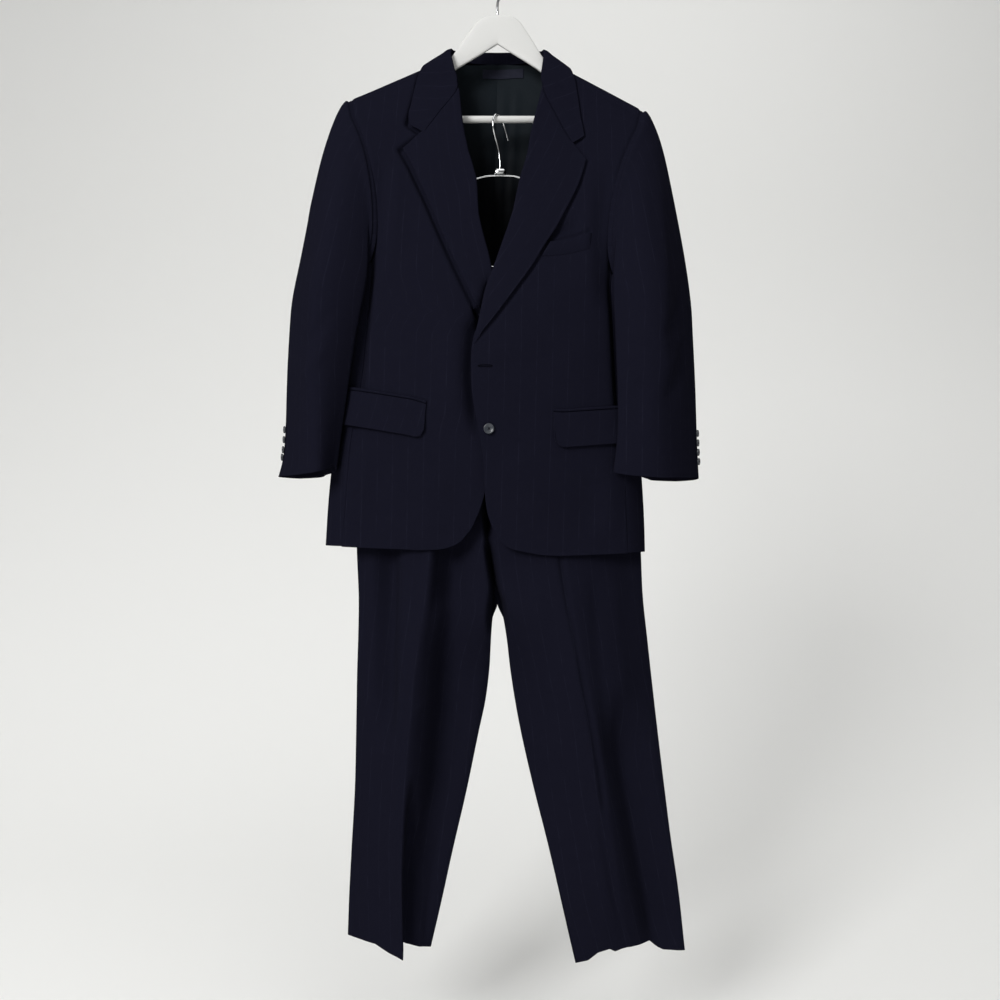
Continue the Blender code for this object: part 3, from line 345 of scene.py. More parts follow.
def satinWithPaintedShade(name, look):
    made, shader = plainMaterial(name, look["upper"], look["roughness"], 0.0, look["specular"])
    tree = made.node_tree
    woven(shader, tree, look)
    # painted shade: the base colour darkens down the grain's drop, from the upper colour to the lower one
    grain = tree.nodes.new("ShaderNodeUVMap")
    grain.uv_map = "grain"
    split = tree.nodes.new("ShaderNodeSeparateXYZ")
    tree.links.new(grain.outputs["UV"], split.inputs["Vector"])
    down = tree.nodes.new("ShaderNodeMapRange")
    down.interpolation_type = "SMOOTHSTEP"
    down.inputs["From Min"].default_value = look["from"]
    down.inputs["From Max"].default_value = look["to"]
    tree.links.new(split.outputs["Y"], down.inputs["Value"])
    mix = tree.nodes.new("ShaderNodeMix")
    mix.data_type = "RGBA"
    mix.inputs["A"].default_value = (*look["upper"], 1)
    mix.inputs["B"].default_value = (*look["lower"], 1)
    tree.links.new(down.outputs["Result"], mix.inputs["Factor"])
    tree.links.new(mix.outputs["Result"], shader.inputs["Base Color"])
    return made


def woven(shader, tree, look):
    # fine relief of the weave
    place = tree.nodes.new("ShaderNodeTexCoord")
    weave = tree.nodes.new("ShaderNodeTexNoise")
    weave.inputs["Scale"].default_value = look["weave"]
    weave.inputs["Detail"].default_value = 1
    tree.links.new(place.outputs["Object"], weave.inputs["Vector"])
    bump = tree.nodes.new("ShaderNodeBump")
    bump.inputs["Strength"].default_value = look["relief"]
    bump.inputs["Distance"].default_value = 0.0004
    tree.links.new(weave.outputs["Fac"], bump.inputs["Height"])
    tree.links.new(bump.outputs["Normal"], shader.inputs["Normal"])


navyWool = pinstripe("navyWool", suitCloth)
liningSatin = satinWithPaintedShade("liningSatin", satin)
finishes = {name: plainMaterial(name, *values)[0] for name, values in plain.items()}
print("materials made")

jacketFront = {
    # inner end on the lapping front and on the one beneath, then the outer end
    "rows": [
        (138, 79, 1, 79, 1, 213, 234, 0), (141, 78.5, -7, 77.5, -7, 216.5, 233, -8),
        (152, 77, -13, 71, -13, 229, 230, -15), (172, 72, -17, 62, -16, 246, 226, -21),
        (205, 69, -23, 56.5, -22, 268, 216, -28), (243, 65, -29, 51.5, -27, 300, 203.5, -36),
        (287, 59, -37, 44, -34, 335, 194, -44), (331, 51, -45, 36.5, -42, 370, 187.5, -50),
        (373, 39.5, -53, 29.5, -50, 402, 184, -54), (414, 26.6, -61, 22, -57, 432, 183, -56),
        (450, 15, -67, 13, -62, 458, 185, -56), (484, 4.5, -73, 3, -66, 482, 191, -54),
        (525, -9, -79, -8, -69, 525, 194, -53), (568, -17, -85, -17, -70, 568, 197, -53),
        (611, -26, -91, -26, -71, 611, 200, -52), (652, -26.5, -89.5, -27, -72, 652, 203, -51),
        (693, -22.5, -85, -23, -72, 693, 206, -49), (738, -12.5, -80, -13, -70, 738, 210, -47),
        (785, -5, -75, -5, -66, 785, 214, -45), (835, -1.2, -68, 2, -60, 828, 217, -43),
        (870, 5, -63, 13, -56, 862, 219, -41), (897, 17.5, -60, 28, -53.5, 888, 221, -40),
        (914, 31, -58, 47, -52, 904, 222, -39), (922, 52, -56.5, 72, -51, 914, 223, -38.5),
        (926, 84, -56, 105, -50, 922, 223.5, -38),
    ],
    "armpitRow": 11, "turn": 70, "columns": 100, "gap": 3.0,
    # the edge lies a little further in where a lapel rolls over it
    "underLapel": 2.0, "breakDrop": 597, "underFade": 20,
    "hills": 0.5, "calmEdge": 30,
    "cut": {"left": (0.239, 0.872, 0.150), "right": (0.243, 0.879, 0.152)},
}
jacketBack = {
    # inner end round the neck and down the centre seam, then the outer end
    "rows": [
        (138, 79, 2, 213, 234, 1), (136.7, 76.5, 10, 216.5, 233, 9), (133.2, 69, 23, 228, 231, 17),
        (131, 56, 34.5, 246, 226, 24), (128.8, 31, 44.3, 272, 219, 31), (128, 0, 48, 300, 212, 36),
        (165, 0, 52.5, 332, 206, 41), (215, 0, 56.5, 368, 202, 45), (270, 0, 59, 402, 200, 48),
        (330, 0, 60, 436, 199, 50), (395, 0, 61, 462, 199, 50), (455, 0, 61, 484, 200, 50),
        (520, 0, 60, 525, 201, 49), (590, 0, 57, 590, 203, 47), (660, 0, 53, 660, 207, 44),
        (730, 0, 49, 730, 211, 41), (800, 0, 46, 800, 216, 38), (862, 0, 44, 862, 220, 36),
        (919, 0, 43, 921, 223.5, 34),
    ],
    "armpitRow": 11, "turn": 62, "columns": 52, "gap": 4.5,
    "hills": 0.6, "calmTo": 150, "calmFade": 60,
    "cut": {"left": (0.280, 0.892, 0.166), "right": (0.274, 0.892, 0.166)},
}
sideBody = {
    # how far out it stands half way round, at each drop
    "rows": [(484, 224), (525, 226), (590, 230), (660, 235), (730, 240), (800, 247), (862, 252), (921, 255)],
    "underarmDip": 9.0, "dipFade": 41, "columns": 22, "gap": 4.5,
    "hills": 0.6, "calmTo": 500, "calmFade": 60,
    "cut": {"left": (0.126, 0.435, 0.049), "right": (0.126, 0.445, 0.050)},
}
armhole = {"depth": 3.0, "reach": 5.0}  # the valley along an armhole's seam
# the valley where a front turns under the arm, beside the sleeve
hollow = {
    "depth": 13.0, "reach": 11.0, "way": (-0.5, 0.86, 0.0),
    "from": 420.0, "full": 520.0, "fadeFrom": 640.0, "to": 780.0,
}
# the shade lines along the edges of the collar and the lapels, drawn as grooves in the fronts
shadeLines = {
    "left": [
        (113, 152), (122, 178), (131, 215), (137.5, 243), (141, 263), (122, 281), (146, 305), (136, 341),
        (115, 389), (98.5, 424), (85, 448.5), (65, 488), (38, 529.5), (8, 572), (-7, 591), (-14, 602),
    ],
    "right": [
        (-113, 152), (-122, 182), (-129, 222), (-134, 246), (-138, 262), (-112.5, 281), (-147, 306),
        (-133, 330), (-119, 359), (-101, 395), (-82, 435), (-63, 473), (-44, 510), (-20, 557), (-6, 572),
    ],
    "wide": {"left": 2.6, "right": 4.2}, "deep": {"left": 2.4, "right": 8.0}, "fade": 25.0,
}
# the hollow and the line above the breast welt, as (path of x and drop, half width, height)
weltShade = ([(70, 432), (104, 421), (140, 409)], 15, -6.0)
weltLine = ([(82, 441.5), (118, 430.5), (154, 419.5)], 2.4, -3.0)
clothWall, liningWall, seam = 1.5, 1.0, -0.25


def bowed(starts, ends, columns, turn):
    # a panel between two lines of points, bowed out by the angle through which it turns
    angle = math.radians(turn) * np.linspace(0, 1, columns)
    across = np.sin(angle) / math.sin(math.radians(turn))
    back = (1 - np.cos(angle)) / (1 - math.cos(math.radians(turn)))
    grid = starts[:, None] + (ends - starts)[:, None] * across[None, :, None]
    grid[..., 1] = starts[:, None, 1] + (ends - starts)[:, None, 1] * back[None]
    return grid


def frontGrid(over):
    table = np.array(jacketFront["rows"], float)
    x, y = (1, 2) if over else (3, 4)
    knots = (table[:, 0] + table[:, 5]) / 2
    places = steps(knots, jacketFront["gap"])
    starts = curve(knots, np.stack([table[:, x], table[:, y], -table[:, 0]], 1), places)
    ends = curve(knots, np.stack([table[:, 6], table[:, 7], -table[:, 5]], 1), places)
    armpit = int(np.argmin(abs(places - knots[jacketFront["armpitRow"]])))
    return bowed(starts, ends, jacketFront["columns"], jacketFront["turn"]), armpit


def backGrid():
    table = np.array(jacketBack["rows"], float)
    knots = (table[:, 0] + table[:, 3]) / 2
    places = steps(knots, jacketBack["gap"])
    starts = curve(knots, np.stack([table[:, 1], table[:, 2], -table[:, 0]], 1), places)
    ends = curve(knots, np.stack([table[:, 4], table[:, 5], -table[:, 3]], 1), places)
    starts[:, 0] = np.maximum(starts[:, 0], 0)
    armpit = int(np.argmin(abs(places - knots[jacketBack["armpitRow"]])))
    return bowed(starts, ends, jacketBack["columns"], jacketBack["turn"]), armpit


def seamAt(table, columns, drop):
    # a panel's outer end below the armhole, at each drop
    table = np.array(table, float)[jacketFront["armpitRow"]:]
    return curve(table[:, columns[0]], table[:, columns[1:]], np.atleast_1d(drop))


def sidePoint(drop, t):
    # a point of the side body, at shares t of the way from the front's seam to the back's
    drop, t = np.atleast_1d(np.asarray(drop, float)), np.asarray(t, float)
    outX = curve([r[0] for r in sideBody["rows"]], [[r[1]] for r in sideBody["rows"]], drop)[:, 0]
    front = seamAt(jacketFront["rows"], [5, 6, 7], drop)
    back = seamAt(jacketBack["rows"], [3, 4, 5], drop)
    straight = front[:, None] + (back - front)[:, None] * t[None, :, None]
    out = (outX[:, None] - straight[..., 0]) * np.sin(math.pi * t)[None] ** 0.8
    x, z = straight[..., 0] + out, np.broadcast_to(-drop[:, None], straight.shape[:2])
    return np.stack([x, straight[..., 1], z], 2)


def sideGrid():
    drops = steps([r[0] for r in sideBody["rows"]], sideBody["gap"])
    t = np.linspace(0, 1, sideBody["columns"])
    grid = sidePoint(drops, t)
    dip = sideBody["underarmDip"] * np.sqrt(np.sin(math.pi * t))
    fade = np.clip(1 - (drops - drops[0]) / sideBody["dipFade"], 0, 1)
    grid[..., 2] -= dip[None] * fade[:, None]
    return grid


def mirrored(grid):
    return grid * np.array([-1.0, 1.0, 1.0])


def sunk(grid, sign):
    # the same hollow on both sides of the seam under the arm
    drop = -grid[..., 2]
    spot = seamAt(jacketFront["rows"], [5, 6, 7], drop.ravel()).reshape(drop.shape + (2,))
    gap = np.hypot(grid[..., 0] - sign * spot[..., 0], grid[..., 1] - spot[..., 1])
    part = between(drop, hollow["from"], hollow["full"])
    part = part * (1 - between(drop, hollow["fadeFrom"], hollow["to"]))
    height = hollow["depth"] * part * np.exp(-((gap / hollow["reach"]) ** 2))
    return grid + height[..., None] * np.array(hollow["way"]) * (sign, 1, 1)


# soft creases, as (path of x and drop, half width, height)
frontCreases = {
    "left": [
        ([(178, 300), (172, 420), (180, 560)], 16, -4.5),
        ([(150, 330), (146, 430), (158, 560)], 14, 2.0),
        ([(60, 560), (110, 520), (150, 470)], 26, 2.2),
        ([(0, 650), (60, 640), (120, 600)], 24, -2.0),
        ([(30, 770), (70, 820), (90, 880)], 26, 2.4),
        ([(150, 790), (160, 850), (150, 905)], 20, -2.2),
        ([(190, 800), (196, 860), (190, 905)], 16, 2.0),
    ],
    "right": [
        ([(-176, 300), (-172, 400), (-182, 520)], 15, -4.0),
        # the shade line where the other front laps over
        ([(9, 462), (3, 490), (-7, 520), (-15, 555), (-20, 600)], 5, -13.0),
        ([(-150, 320), (-150, 420), (-160, 540)], 14, 2.0),
        ([(-12, 535), (-22, 585), (-25, 650), (-20, 700), (-10, 760)], 12, -13.0),
        ([(-62, 540), (-58, 620), (-56, 730)], 20, 3.0),
        ([(-50, 560), (-90, 520), (-140, 470)], 26, 2.0),
        ([(-70, 790), (-84, 850), (-70, 905)], 24, 2.2),
        ([(-150, 770), (-170, 840), (-160, 905)], 22, -2.4),
    ],
}
backCreases = [
    ([(120, 330), (110, 450), (126, 600)], 24, 3.0),
    ([(165, 330), (160, 440), (170, 560)], 16, -3.5),
    ([(60, 170), (90, 210), (140, 240)], 20, -1.6),
    ([(-120, 350), (-104, 470), (-118, 640)], 26, 2.6),
    ([(-164, 330), (-158, 450), (-168, 570)], 16, -3.2),
    ([(-50, 620), (-60, 740), (-46, 880)], 26, 2.2),
    ([(40, 640), (58, 760), (50, 890)], 24, -2.0),
]


def innerSide(grid):
    # which border of a panel lies towards the middle of the body
    row = grid[len(grid) // 4]
    return "left" if abs(row[0, 0]) < abs(row[-1, 0]) else "right"


otherSide = {"left": "right", "right": "left"}
hands = (("left", 1), ("right", -1))
frontSurfaces, halves = {}, {}
for hand, sign in hands:
    front, frontArmpit = frontGrid(hand == "left")
    back, backArmpit = backGrid()
    side = sideGrid()
    halves[hand] = (front, frontArmpit, back, backArmpit, side)
    if sign < 0:
        front, back, side = mirrored(front), mirrored(back), mirrored(side)
    under = ease((jacketFront["breakDrop"] + front[:, 0, 2]) / jacketFront["underFade"])
    under = under * jacketFront["underLapel"]
    front = facing(front, (sign * 100, 0))
    inner = innerSide(front)
    outer = otherSide[inner]
    edge = front[:, [0 if inner == "left" else -1], 0]
    calm = ease(np.abs(front[..., 0] - edge) / jacketFront["calmEdge"])
    height = swells(front, frontCreases[hand]) + uneven(front, jacketFront["hills"], 1.0 + sign)
    front = lifted(front, height * calm)
    frontSurfaces[hand] = front
    wide, deep = shadeLines["wide"][hand], shadeLines["deep"][hand]
    groove = swells(front, [(shadeLines[hand], wide, -deep)], fade=shadeLines["fade"])
    front = lifted(front, np.maximum(groove, -deep))
    if hand == "left":
        front = lifted(front, swells(front, [weltShade]) + swells(front, [weltLine], fade=14.0))
    front = sunkAlong(sunk(front, sign), outer, frontArmpit + 4, **armhole)
    front = rolledIn(crisp(drawnIn(front, top=seam, **{inner: under, outer: seam})), [outer, "top"])
    piece = skin(f"jacketFront_{hand}", front, navyWool, f"jacket_front_{hand}", clothWall,
                 anchor=0 if inner == "left" else -1)
    back = facing(back, (sign * 100, 0))
    inner = innerSide(back)
    calm = ease((-back[..., 2] - jacketBack["calmTo"]) / jacketBack["calmFade"])
    height = swells(back, backCreases) + uneven(back, jacketBack["hills"], 3.0 + sign)
    back = lifted(back, height * calm)
    back = sunkAlong(back, otherSide[inner], backArmpit + 4, **armhole)
    back = rolledIn(crisp(drawnIn(back, left=seam, right=seam, top=seam)), ["left", "right"])
    piece = skin(f"jacketBack_{hand}", back, navyWool, f"jacket_back_{hand}", clothWall,
                 anchor=0 if inner == "left" else -1)
    side = facing(side, (sign * 100, 0))
    calm = ease((-side[..., 2] - sideBody["calmTo"]) / sideBody["calmFade"])
    side = lifted(side, uneven(side, sideBody["hills"], 5.0 + sign) * calm)
    side = rolledIn(crisp(drawnIn(sunk(side, sign), left=seam, right=seam)), ["left", "right"])
    piece = skin(f"sideBody_{hand}", side, navyWool, f"side_body_{hand}", clothWall, anchor=1)
print("jacket body made")

sleeve = {
    # outermost, ridge at the front, inner front edge and back, at each drop
    "left": [
        (520, 319, -6, 256, -86, 190, -68, 262, 46), (600, 323, -8, 259, -83, 194.5, -67, 262, 38),
        (690, 328, -10, 262, -77, 200, -65, 266, 30), (752, 331, -12, 265, -73, 200, -63, 270, 24),
        (801, 334, -14, 267, -70, 196, -62, 274, 18),
    ],
    "right": [
        (520, 317, -4, 262, -88, 194, -68, 262, 46), (600, 320, -4, 264, -86, 208, -66, 262, 42),
        (690, 322, -3, 265, -82, 220, -60, 264, 37), (752, 323, -2, 265, -79, 229, -56, 268, 33),
        (795, 326, -1, 264, -76, 235, -53, 271, 30), (813, 331, -1, 264, -76, 237, -52, 274, 29),
    ],
    "tuckIn": 5.0, "tuckUnder": 3.4, "tuckRows": 4,
    "hem": {
        "left": [
            (0, 0), (0.07, -1), (0.14, -2), (0.21, 1), (0.286, 7), (0.38, 5), (0.5, 0), (0.65, -4), (0.8, -6),
            (0.9, -4), (1, 0),
        ],
        "right": [
            (0, 0), (0.07, 1), (0.14, 3.5), (0.2, 7), (0.286, 15), (0.38, 10), (0.5, 4), (0.65, 0), (0.8, -3),
            (1, 0),
        ],
    },
    "offBody": 7.0, "offArmhole": 1.4, "seams": (0.35, 0.80), "around": 104, "headRows": 44, "gap": 4.0,
    # the sleeve head: how it leaves the armhole and joins the arm, then its soft roll and its seam's valley
    "headOut": (0.09, 0, -0.006), "headUp": (-0.07, 0, 0.38), "headClose": 1.15,
    "headRoll": 0.9, "rollRow": 5, "rollWide": 3.5, "topShare": 0.30, "topFade": 0.12,
    "headSink": 2.4, "sinkWide": 1.6, "headCalm": (6, 26),
    "smooth": 26, "hills": 0.8, "hemFade": 60,
    "cut": {
        "sleeveTop_left": (0.390, 0.610, 0.125), "sleeveUnder_left": (0.325, 0.502, 0.0597),
        "sleeveTop_right": (0.382, 0.628, 0.124), "sleeveUnder_right": (0.325, 0.520, 0.0586),
    },
}
# creases on the sleeves' fronts, as (path of x and drop, half width, height)
sleeveCreases = {
    "left": [
        ([(252, 300), (262, 420), (266, 560), (270, 700)], 9, 3.0),
        ([(292, 470), (300, 560), (296, 640)], 14, -4.0),
        ([(300, 500), (282, 560), (262, 600)], 10, -3.2),
        ([(306, 560), (286, 612), (268, 650)], 9, 3.0),
        ([(312, 610), (292, 650), (270, 690)], 10, -3.0),
        ([(240, 640), (226, 680), (222, 740)], 12, -2.4),
    ],
    "right": [
        ([(-268, 470), (-272, 600), (-274, 740)], 9, 2.6),
        ([(-300, 380), (-306, 470), (-300, 560)], 16, -2.2),
        ([(-240, 560), (-256, 600), (-286, 630)], 10, -2.4),
        ([(-246, 620), (-266, 650), (-292, 672)], 9, 2.0),
        ([(-300, 640), (-310, 700), (-306, 760)], 12, -2.0),
    ],
}


def facingWays(grid):
    # outward directions of a panel drawn on the wearer's left
    ways = outward(grid)
    return ways if ways[len(grid) // 2, -1, 0] > 0 else -ways


def roundCurve(points, shares):
    # points: (rows, corners, 3); the smooth closed curve through each row's corners
    count = points.shape[1]
    i = (shares * count).astype(int) % count
    t = (shares * count - (shares * count).astype(int))[None, :, None]
    a, b, c, d = (points[:, (i + k) % count] for k in (-1, 0, 1, 2))
    return (b * 2 + (c - a) * t + (a * 2 - b * 5 + c * 4 - d) * t**2 + (b * 3 - a - c * 3 + d) * t**3) / 2


def sleeveRings(hand, front, frontArmpit, back, backArmpit, side):
    # drawn on the wearer's left: armhole, sleeve head, then down to the cuff
    loop = np.concatenate([front[: frontArmpit + 1, -1], side[0, 1:-1], back[backArmpit:0:-1, -1]])
    panels = (
        (front, np.s_[: frontArmpit + 1, -1], np.s_[: frontArmpit + 1, -2]),
        (side, np.s_[0, 1:-1], np.s_[1, 1:-1]),
        (back, np.s_[backArmpit:0:-1, -1], np.s_[backArmpit:0:-1, -2]),
    )
    tuck = []
    for grid, edge, next_ in panels:
        ways = facingWays(grid)
        tuck.append(unit(grid[next_] - grid[edge]) * sleeve["tuckIn"] - ways[edge] * sleeve["tuckUnder"])
    tuck = np.concatenate(tuck)
    closed = np.vstack([loop, loop[:1]])
    run = runAlong(closed)
    shares = np.linspace(0, 1, sleeve["around"], endpoint=False)
    start = np.stack([np.interp(shares * run[-1], run, closed[:, k]) for k in range(3)], 1)
    allowance = np.vstack([tuck, tuck[:1]])
    allowance = np.stack([np.interp(shares * run[-1], run, allowance[:, k]) for k in range(3)], 1)
    hidden = start[None] + allowance[None] * np.linspace(1, 0.35, sleeve["tuckRows"])[:, None, None]
    start = start + np.array([sleeve["offArmhole"], 0, 0])
    table = np.array(sleeve[hand], float)
    drops = table[:, 0]
    near = sidePoint(drops, [0.12, 0.45])
    z = -drops
    corners = np.stack([
        np.stack([table[:, 1], table[:, 2], z], 1), np.stack([table[:, 3], table[:, 4], z], 1),
        np.stack([table[:, 5], table[:, 6], z], 1),
        near[:, 0] + np.array([0.5, -0.87, 0]) * sleeve["offBody"],
        near[:, 1] + np.array([0.95, -0.3, 0]) * sleeve["offBody"],
        np.stack([table[:, 7], table[:, 8], z], 1),
        np.stack([table[:, 1] - 10, table[:, 8] * 0.62, z], 1),
    ], 1)
    rough = roundCurve(corners, shares)
    places = steps(drops, sleeve["gap"])
    lower = curve(drops, rough.reshape(len(drops), -1), places).reshape(len(places), -1, 3)
    q = lower[0]
    reach = np.linalg.norm(q - start, axis=1, keepdims=True)
    out = start + np.array(sleeve["headOut"]) * reach + np.array([3, 0, 0])
    above = q + np.array(sleeve["headUp"]) * reach
    head = []
    for t in np.linspace(0, 1, sleeve["headRows"])[:-1] ** sleeve["headClose"]:
        u = 1 - t
        head.append(start * u**3 + out * 3 * u**2 * t + above * 3 * u * t**2 + q * t**3)
    rings = np.concatenate([np.array(head), lower])
    for _ in range(sleeve["smooth"]):
        rings[4:-2] = 0.25 * rings[3:-3] + 0.5 * rings[4:-2] + 0.25 * rings[5:-1]
    # the hem slants and dips a little
    near = ease((-rings[..., 2] - drops[-1] + sleeve["hemFade"]) / sleeve["hemFade"])
    rings[..., 2] += near * hemLift(hand, shares)[None]
    return np.concatenate([hidden, rings]), shares


def hemLift(hand, shares):
    # how far the cuff's hem stands above its level, round the cuff from the front of the top
    places, values = np.array(sleeve["hem"][hand], float).T
    return np.interp(shares, places, values)


sleeveRounds = {}
for hand, sign in hands:
    rings, shares = sleeveRings(hand, *halves[hand])
    if sign < 0:
        rings = mirrored(rings)
    ring = np.concatenate([rings, rings[:, :1]], axis=1)
    flip = outward(ring, True)[40, 0, 0] * sign < 0
    ways = outward(ring, True) * (-1 if flip else 1)
    frontSide = ease((-ways[..., 1] + 0.1) / 0.5)
    height = swells(ring, sleeveCreases[hand], frontSide) + uneven(ring, sleeve["hills"], 7.0 + sign)
    rows = np.arange(len(ring))[:, None] - sleeve["tuckRows"]
    height = height * between(rows, *sleeve["headCalm"])
    topHalf = ease((sleeve["topShare"] - np.minimum(shares, 1 - shares)) / sleeve["topFade"])
    topHalf = np.append(topHalf, topHalf[0])[None]
    fromRoll = (rows - sleeve["rollRow"]) / sleeve["rollWide"]
    height = height + sleeve["headRoll"] * np.exp(-(fromRoll**2)) * topHalf
    height[: sleeve["tuckRows"] + 1] = 0
    height -= sleeve["headSink"] * np.exp(-((rows / sleeve["sinkWide"]) ** 2)) * (rows >= 0)
    ring = ring + ways * height[..., None]
    inside, behind = (int(np.argmax(shares > s)) for s in sleeve["seams"])
    pieces = {
        f"sleeveTop_{hand}": np.concatenate([ring[:, behind:-1], ring[:, : inside + 1]], axis=1),
        f"sleeveUnder_{hand}": ring[:, inside: behind + 1],
    }
    for name, grid in pieces.items():
        hub = ring[len(ring) // 2].mean(0)
        grid = facing(grid, hub[:2])
        grid = rolledIn(crisp(drawnIn(grid, left=seam, right=seam)), ["left", "right"], 0.4)
        node = name.replace("sleeveTop", "sleeve_top").replace("sleeveUnder", "sleeve_under")
        piece = skin(name, grid, navyWool, node, clothWall, anchor=grid.shape[1] // 2)
    sleeveRounds[hand] = ring
print("sleeves made")


def treeOf(grid):
    rows, columns = grid.shape[:2]
    points = [Vector(p) for p in grid.reshape(-1, 3)]
    faces = [
        (i * columns + j, (i + 1) * columns + j, (i + 1) * columns + j + 1, i * columns + j + 1)
        for i in range(rows - 1) for j in range(columns - 1)
    ]
    return BVHTree.FromPolygons(points, faces)


def castAt(tree, x, drop):
    # straight back, from well ahead of the suit
    return tree.ray_cast(Vector((x, -500, -drop)), Vector((0, 1, 0)))


def onFront(tree, x, drop):
    # the front's surface over x and drop, and its outward direction
    hit, way = castAt(tree, x, drop)[:2]
    if hit is None:
        near, way = tree.find_nearest(Vector((x, -60, -drop)))[:2]
        hit = Vector((x, near.y, -drop))
    return np.array(hit), np.array(-way if way.y > 0 else way)


frontTrees = {}
for hand, sign in hands:
    side = halves[hand][4] if sign > 0 else mirrored(halves[hand][4])
    frontTrees[hand] = treeOf(frontSurfaces[hand]), treeOf(facing(side, (sign * 100, 0)))


def laid(flat, hand, height):
    # flat: (rows, columns, 2) of x and drop, drawn on the wearer's left
    sign = 1 if hand == "left" else -1
    tree, sideTree = frontTrees[hand]
    spots, ways = np.zeros(flat.shape[:2] + (3,)), np.zeros(flat.shape[:2] + (3,))
    for i in range(flat.shape[0]):
        for j in range(flat.shape[1]):
            x, drop = flat[i, j]
            hit = castAt(tree, sign * x, drop)[0]
            use = tree if hit is not None or x < 150 else sideTree
            spots[i, j], ways[i, j] = onFront(use, sign * x, drop)
    return spots + ways * np.broadcast_to(height, flat.shape[:2])[..., None], ways


def laidWay(grid):
    return facing(grid, (0, 400))


def railAt(hand, drop):
    # where the front's edge lies across, at each drop
    table = np.array(jacketFront["rows"], float)
    return curve(table[:, 0], table[:, [1 if hand == "left" else 3]], np.atleast_1d(drop))[:, 0]


def wrapped(grid, ways, radius, tuck, turns=8):
    # adds a soft roll before the first column, which turns round the front's edge and in behind it
    radius = np.broadcast_to(radius, (len(grid),))[:, None]
    tuck = np.broadcast_to(tuck, (len(grid),))[:, None]
    across = unit(grid[:, 1] - grid[:, 0])
    ways = unit(ways - across * (ways * across).sum(1, keepdims=True))
    hub = grid[:, 0] - ways * radius
    roll = [
        hub - across * radius * math.sin(a) + ways * radius * math.cos(a)
        for a in np.linspace(math.pi, 0, turns)[:-1]
    ]
    inner = hub - ways * radius + across * tuck
    return np.concatenate([inner[:, None], np.stack(roll, 1), grid], axis=1)


lapel = {
    # gorge, notch and tip, then the outer edge down to the break
    "left": {
        "top": [(74.5, 194.5), (118.6, 272.5), (142.6, 304)],
        "edge": [
            (133, 340), (112, 388), (95.5, 423), (82, 447), (62, 486), (35, 527), (5, 569), (-10, 589),
            (-21.0, 608),
        ],
        "rollIn": [(200, 0), (240, 4), (272, 7), (303, 6), (346, 8), (364, 6), (403, 1), (430, 0)],
    },
    "right": {
        "top": [(62.5, 194.5), (110.6, 272.5), (143.5, 305)],
        "edge": [(130, 328), (116, 357), (98, 393), (79, 433), (60, 471), (41, 508), (16, 556), (-13, 597)],
        "rollIn": [(272, 0), (303, 2), (346, 8), (364, 7), (403, 3), (465, 4), (500, 2), (540, 0)],
    },
    # rollIn: how far the roll lies further in than the front's edge, at each drop
    "rollRadius": 3.0, "rollTuck": 7.0, "onRail": 2.4, "notchAt": 0.6, "tuck": 2.0,
    "lift": 3.0, "belly": 1.6, "edgeLift": {"left": 1.2, "right": 2.8},
    "meltFrom": 0.955, "melt": 0.75, "columns": 26, "rows": 96,
    "cut": {"left": (0.153, 0.436, 0.029), "right": (0.149, 0.418, 0.0286)},
}


def lapelFlat(hand):
    # x and drop over the whole lapel, from the roll (u = 0) to its outer edge (u = 1)
    gorge, notch, tip = (np.array(p, float) for p in lapel[hand]["top"])
    u = np.linspace(0, 1, lapel["columns"])
    share = u[:, None]
    toNotch = gorge + (notch - gorge) * share / lapel["notchAt"]
    toTip = notch + (tip - notch) * (share - lapel["notchAt"]) / (1 - lapel["notchAt"])
    top = np.where(share < lapel["notchAt"], toNotch, toTip)
    edge = alongPath([tip] + lapel[hand]["edge"], lapel["rows"])
    drops = np.linspace(gorge[1], edge[-1, 1], lapel["rows"])
    inwards = np.array(lapel[hand]["rollIn"], float)
    rollX = railAt(hand, drops) + lapel["onRail"] - np.interp(drops, inwards[:, 0], inwards[:, 1])
    roll = np.stack([rollX, drops], 1)
    # the notched shape of the top fades out over about a quarter of the length
    keep = np.clip(1 - np.linspace(0, 8, lapel["rows"]) / 2.2, 0, 1)[:, None, None] ** 1.2
    straight = roll[:, None] + (edge - roll)[:, None] * u[None, :, None]
    shaped = top - (top[0] + (top[-1] - top[0]) * share)
    flat = straight + keep * shaped[None]
    flat[0] = top
    return flat, u


for hand, sign in hands:
    flat, u = lapelFlat(hand)
    u = u[None]
    fall = np.linspace(0, 1, lapel["rows"])[:, None]
    belly = lapel["belly"] * np.sin(math.pi * u**0.8) * ease(fall * 3 + 0.3) * (1 - 0.6 * fall)
    # the top edge lies tucked under the collar as far as the notch
    tuck = lapel["tuck"] * (fall == 0) * (1 - ease((u - 0.5) / 0.12))
    edgeLift = lapel["edgeLift"][hand] * ease((u - 0.3) / 0.7)
    edgeLift = edgeLift * ease(np.minimum(fall * 6, (1 - fall) * 3 + 0.15))
    # the lapel's foot melts into the front
    melt = 1 - lapel["melt"] * ease((fall - lapel["meltFrom"]) / (1 - lapel["meltFrom"]))
    grid, ways = laid(flat, hand, (lapel["lift"] + belly - tuck + edgeLift) * melt)
    grid = wrapped(grid, ways[:, 0], lapel["rollRadius"] * melt[:, 0], tuck=lapel["rollTuck"] * melt[:, 0])
    grid = crisp(laidWay(grid))
    piece = skin(f"lapelFace_{hand}", grid, navyWool, f"lapel_{hand}", 1.3, anchor=grid.shape[1] - 3)
print("lapels made")

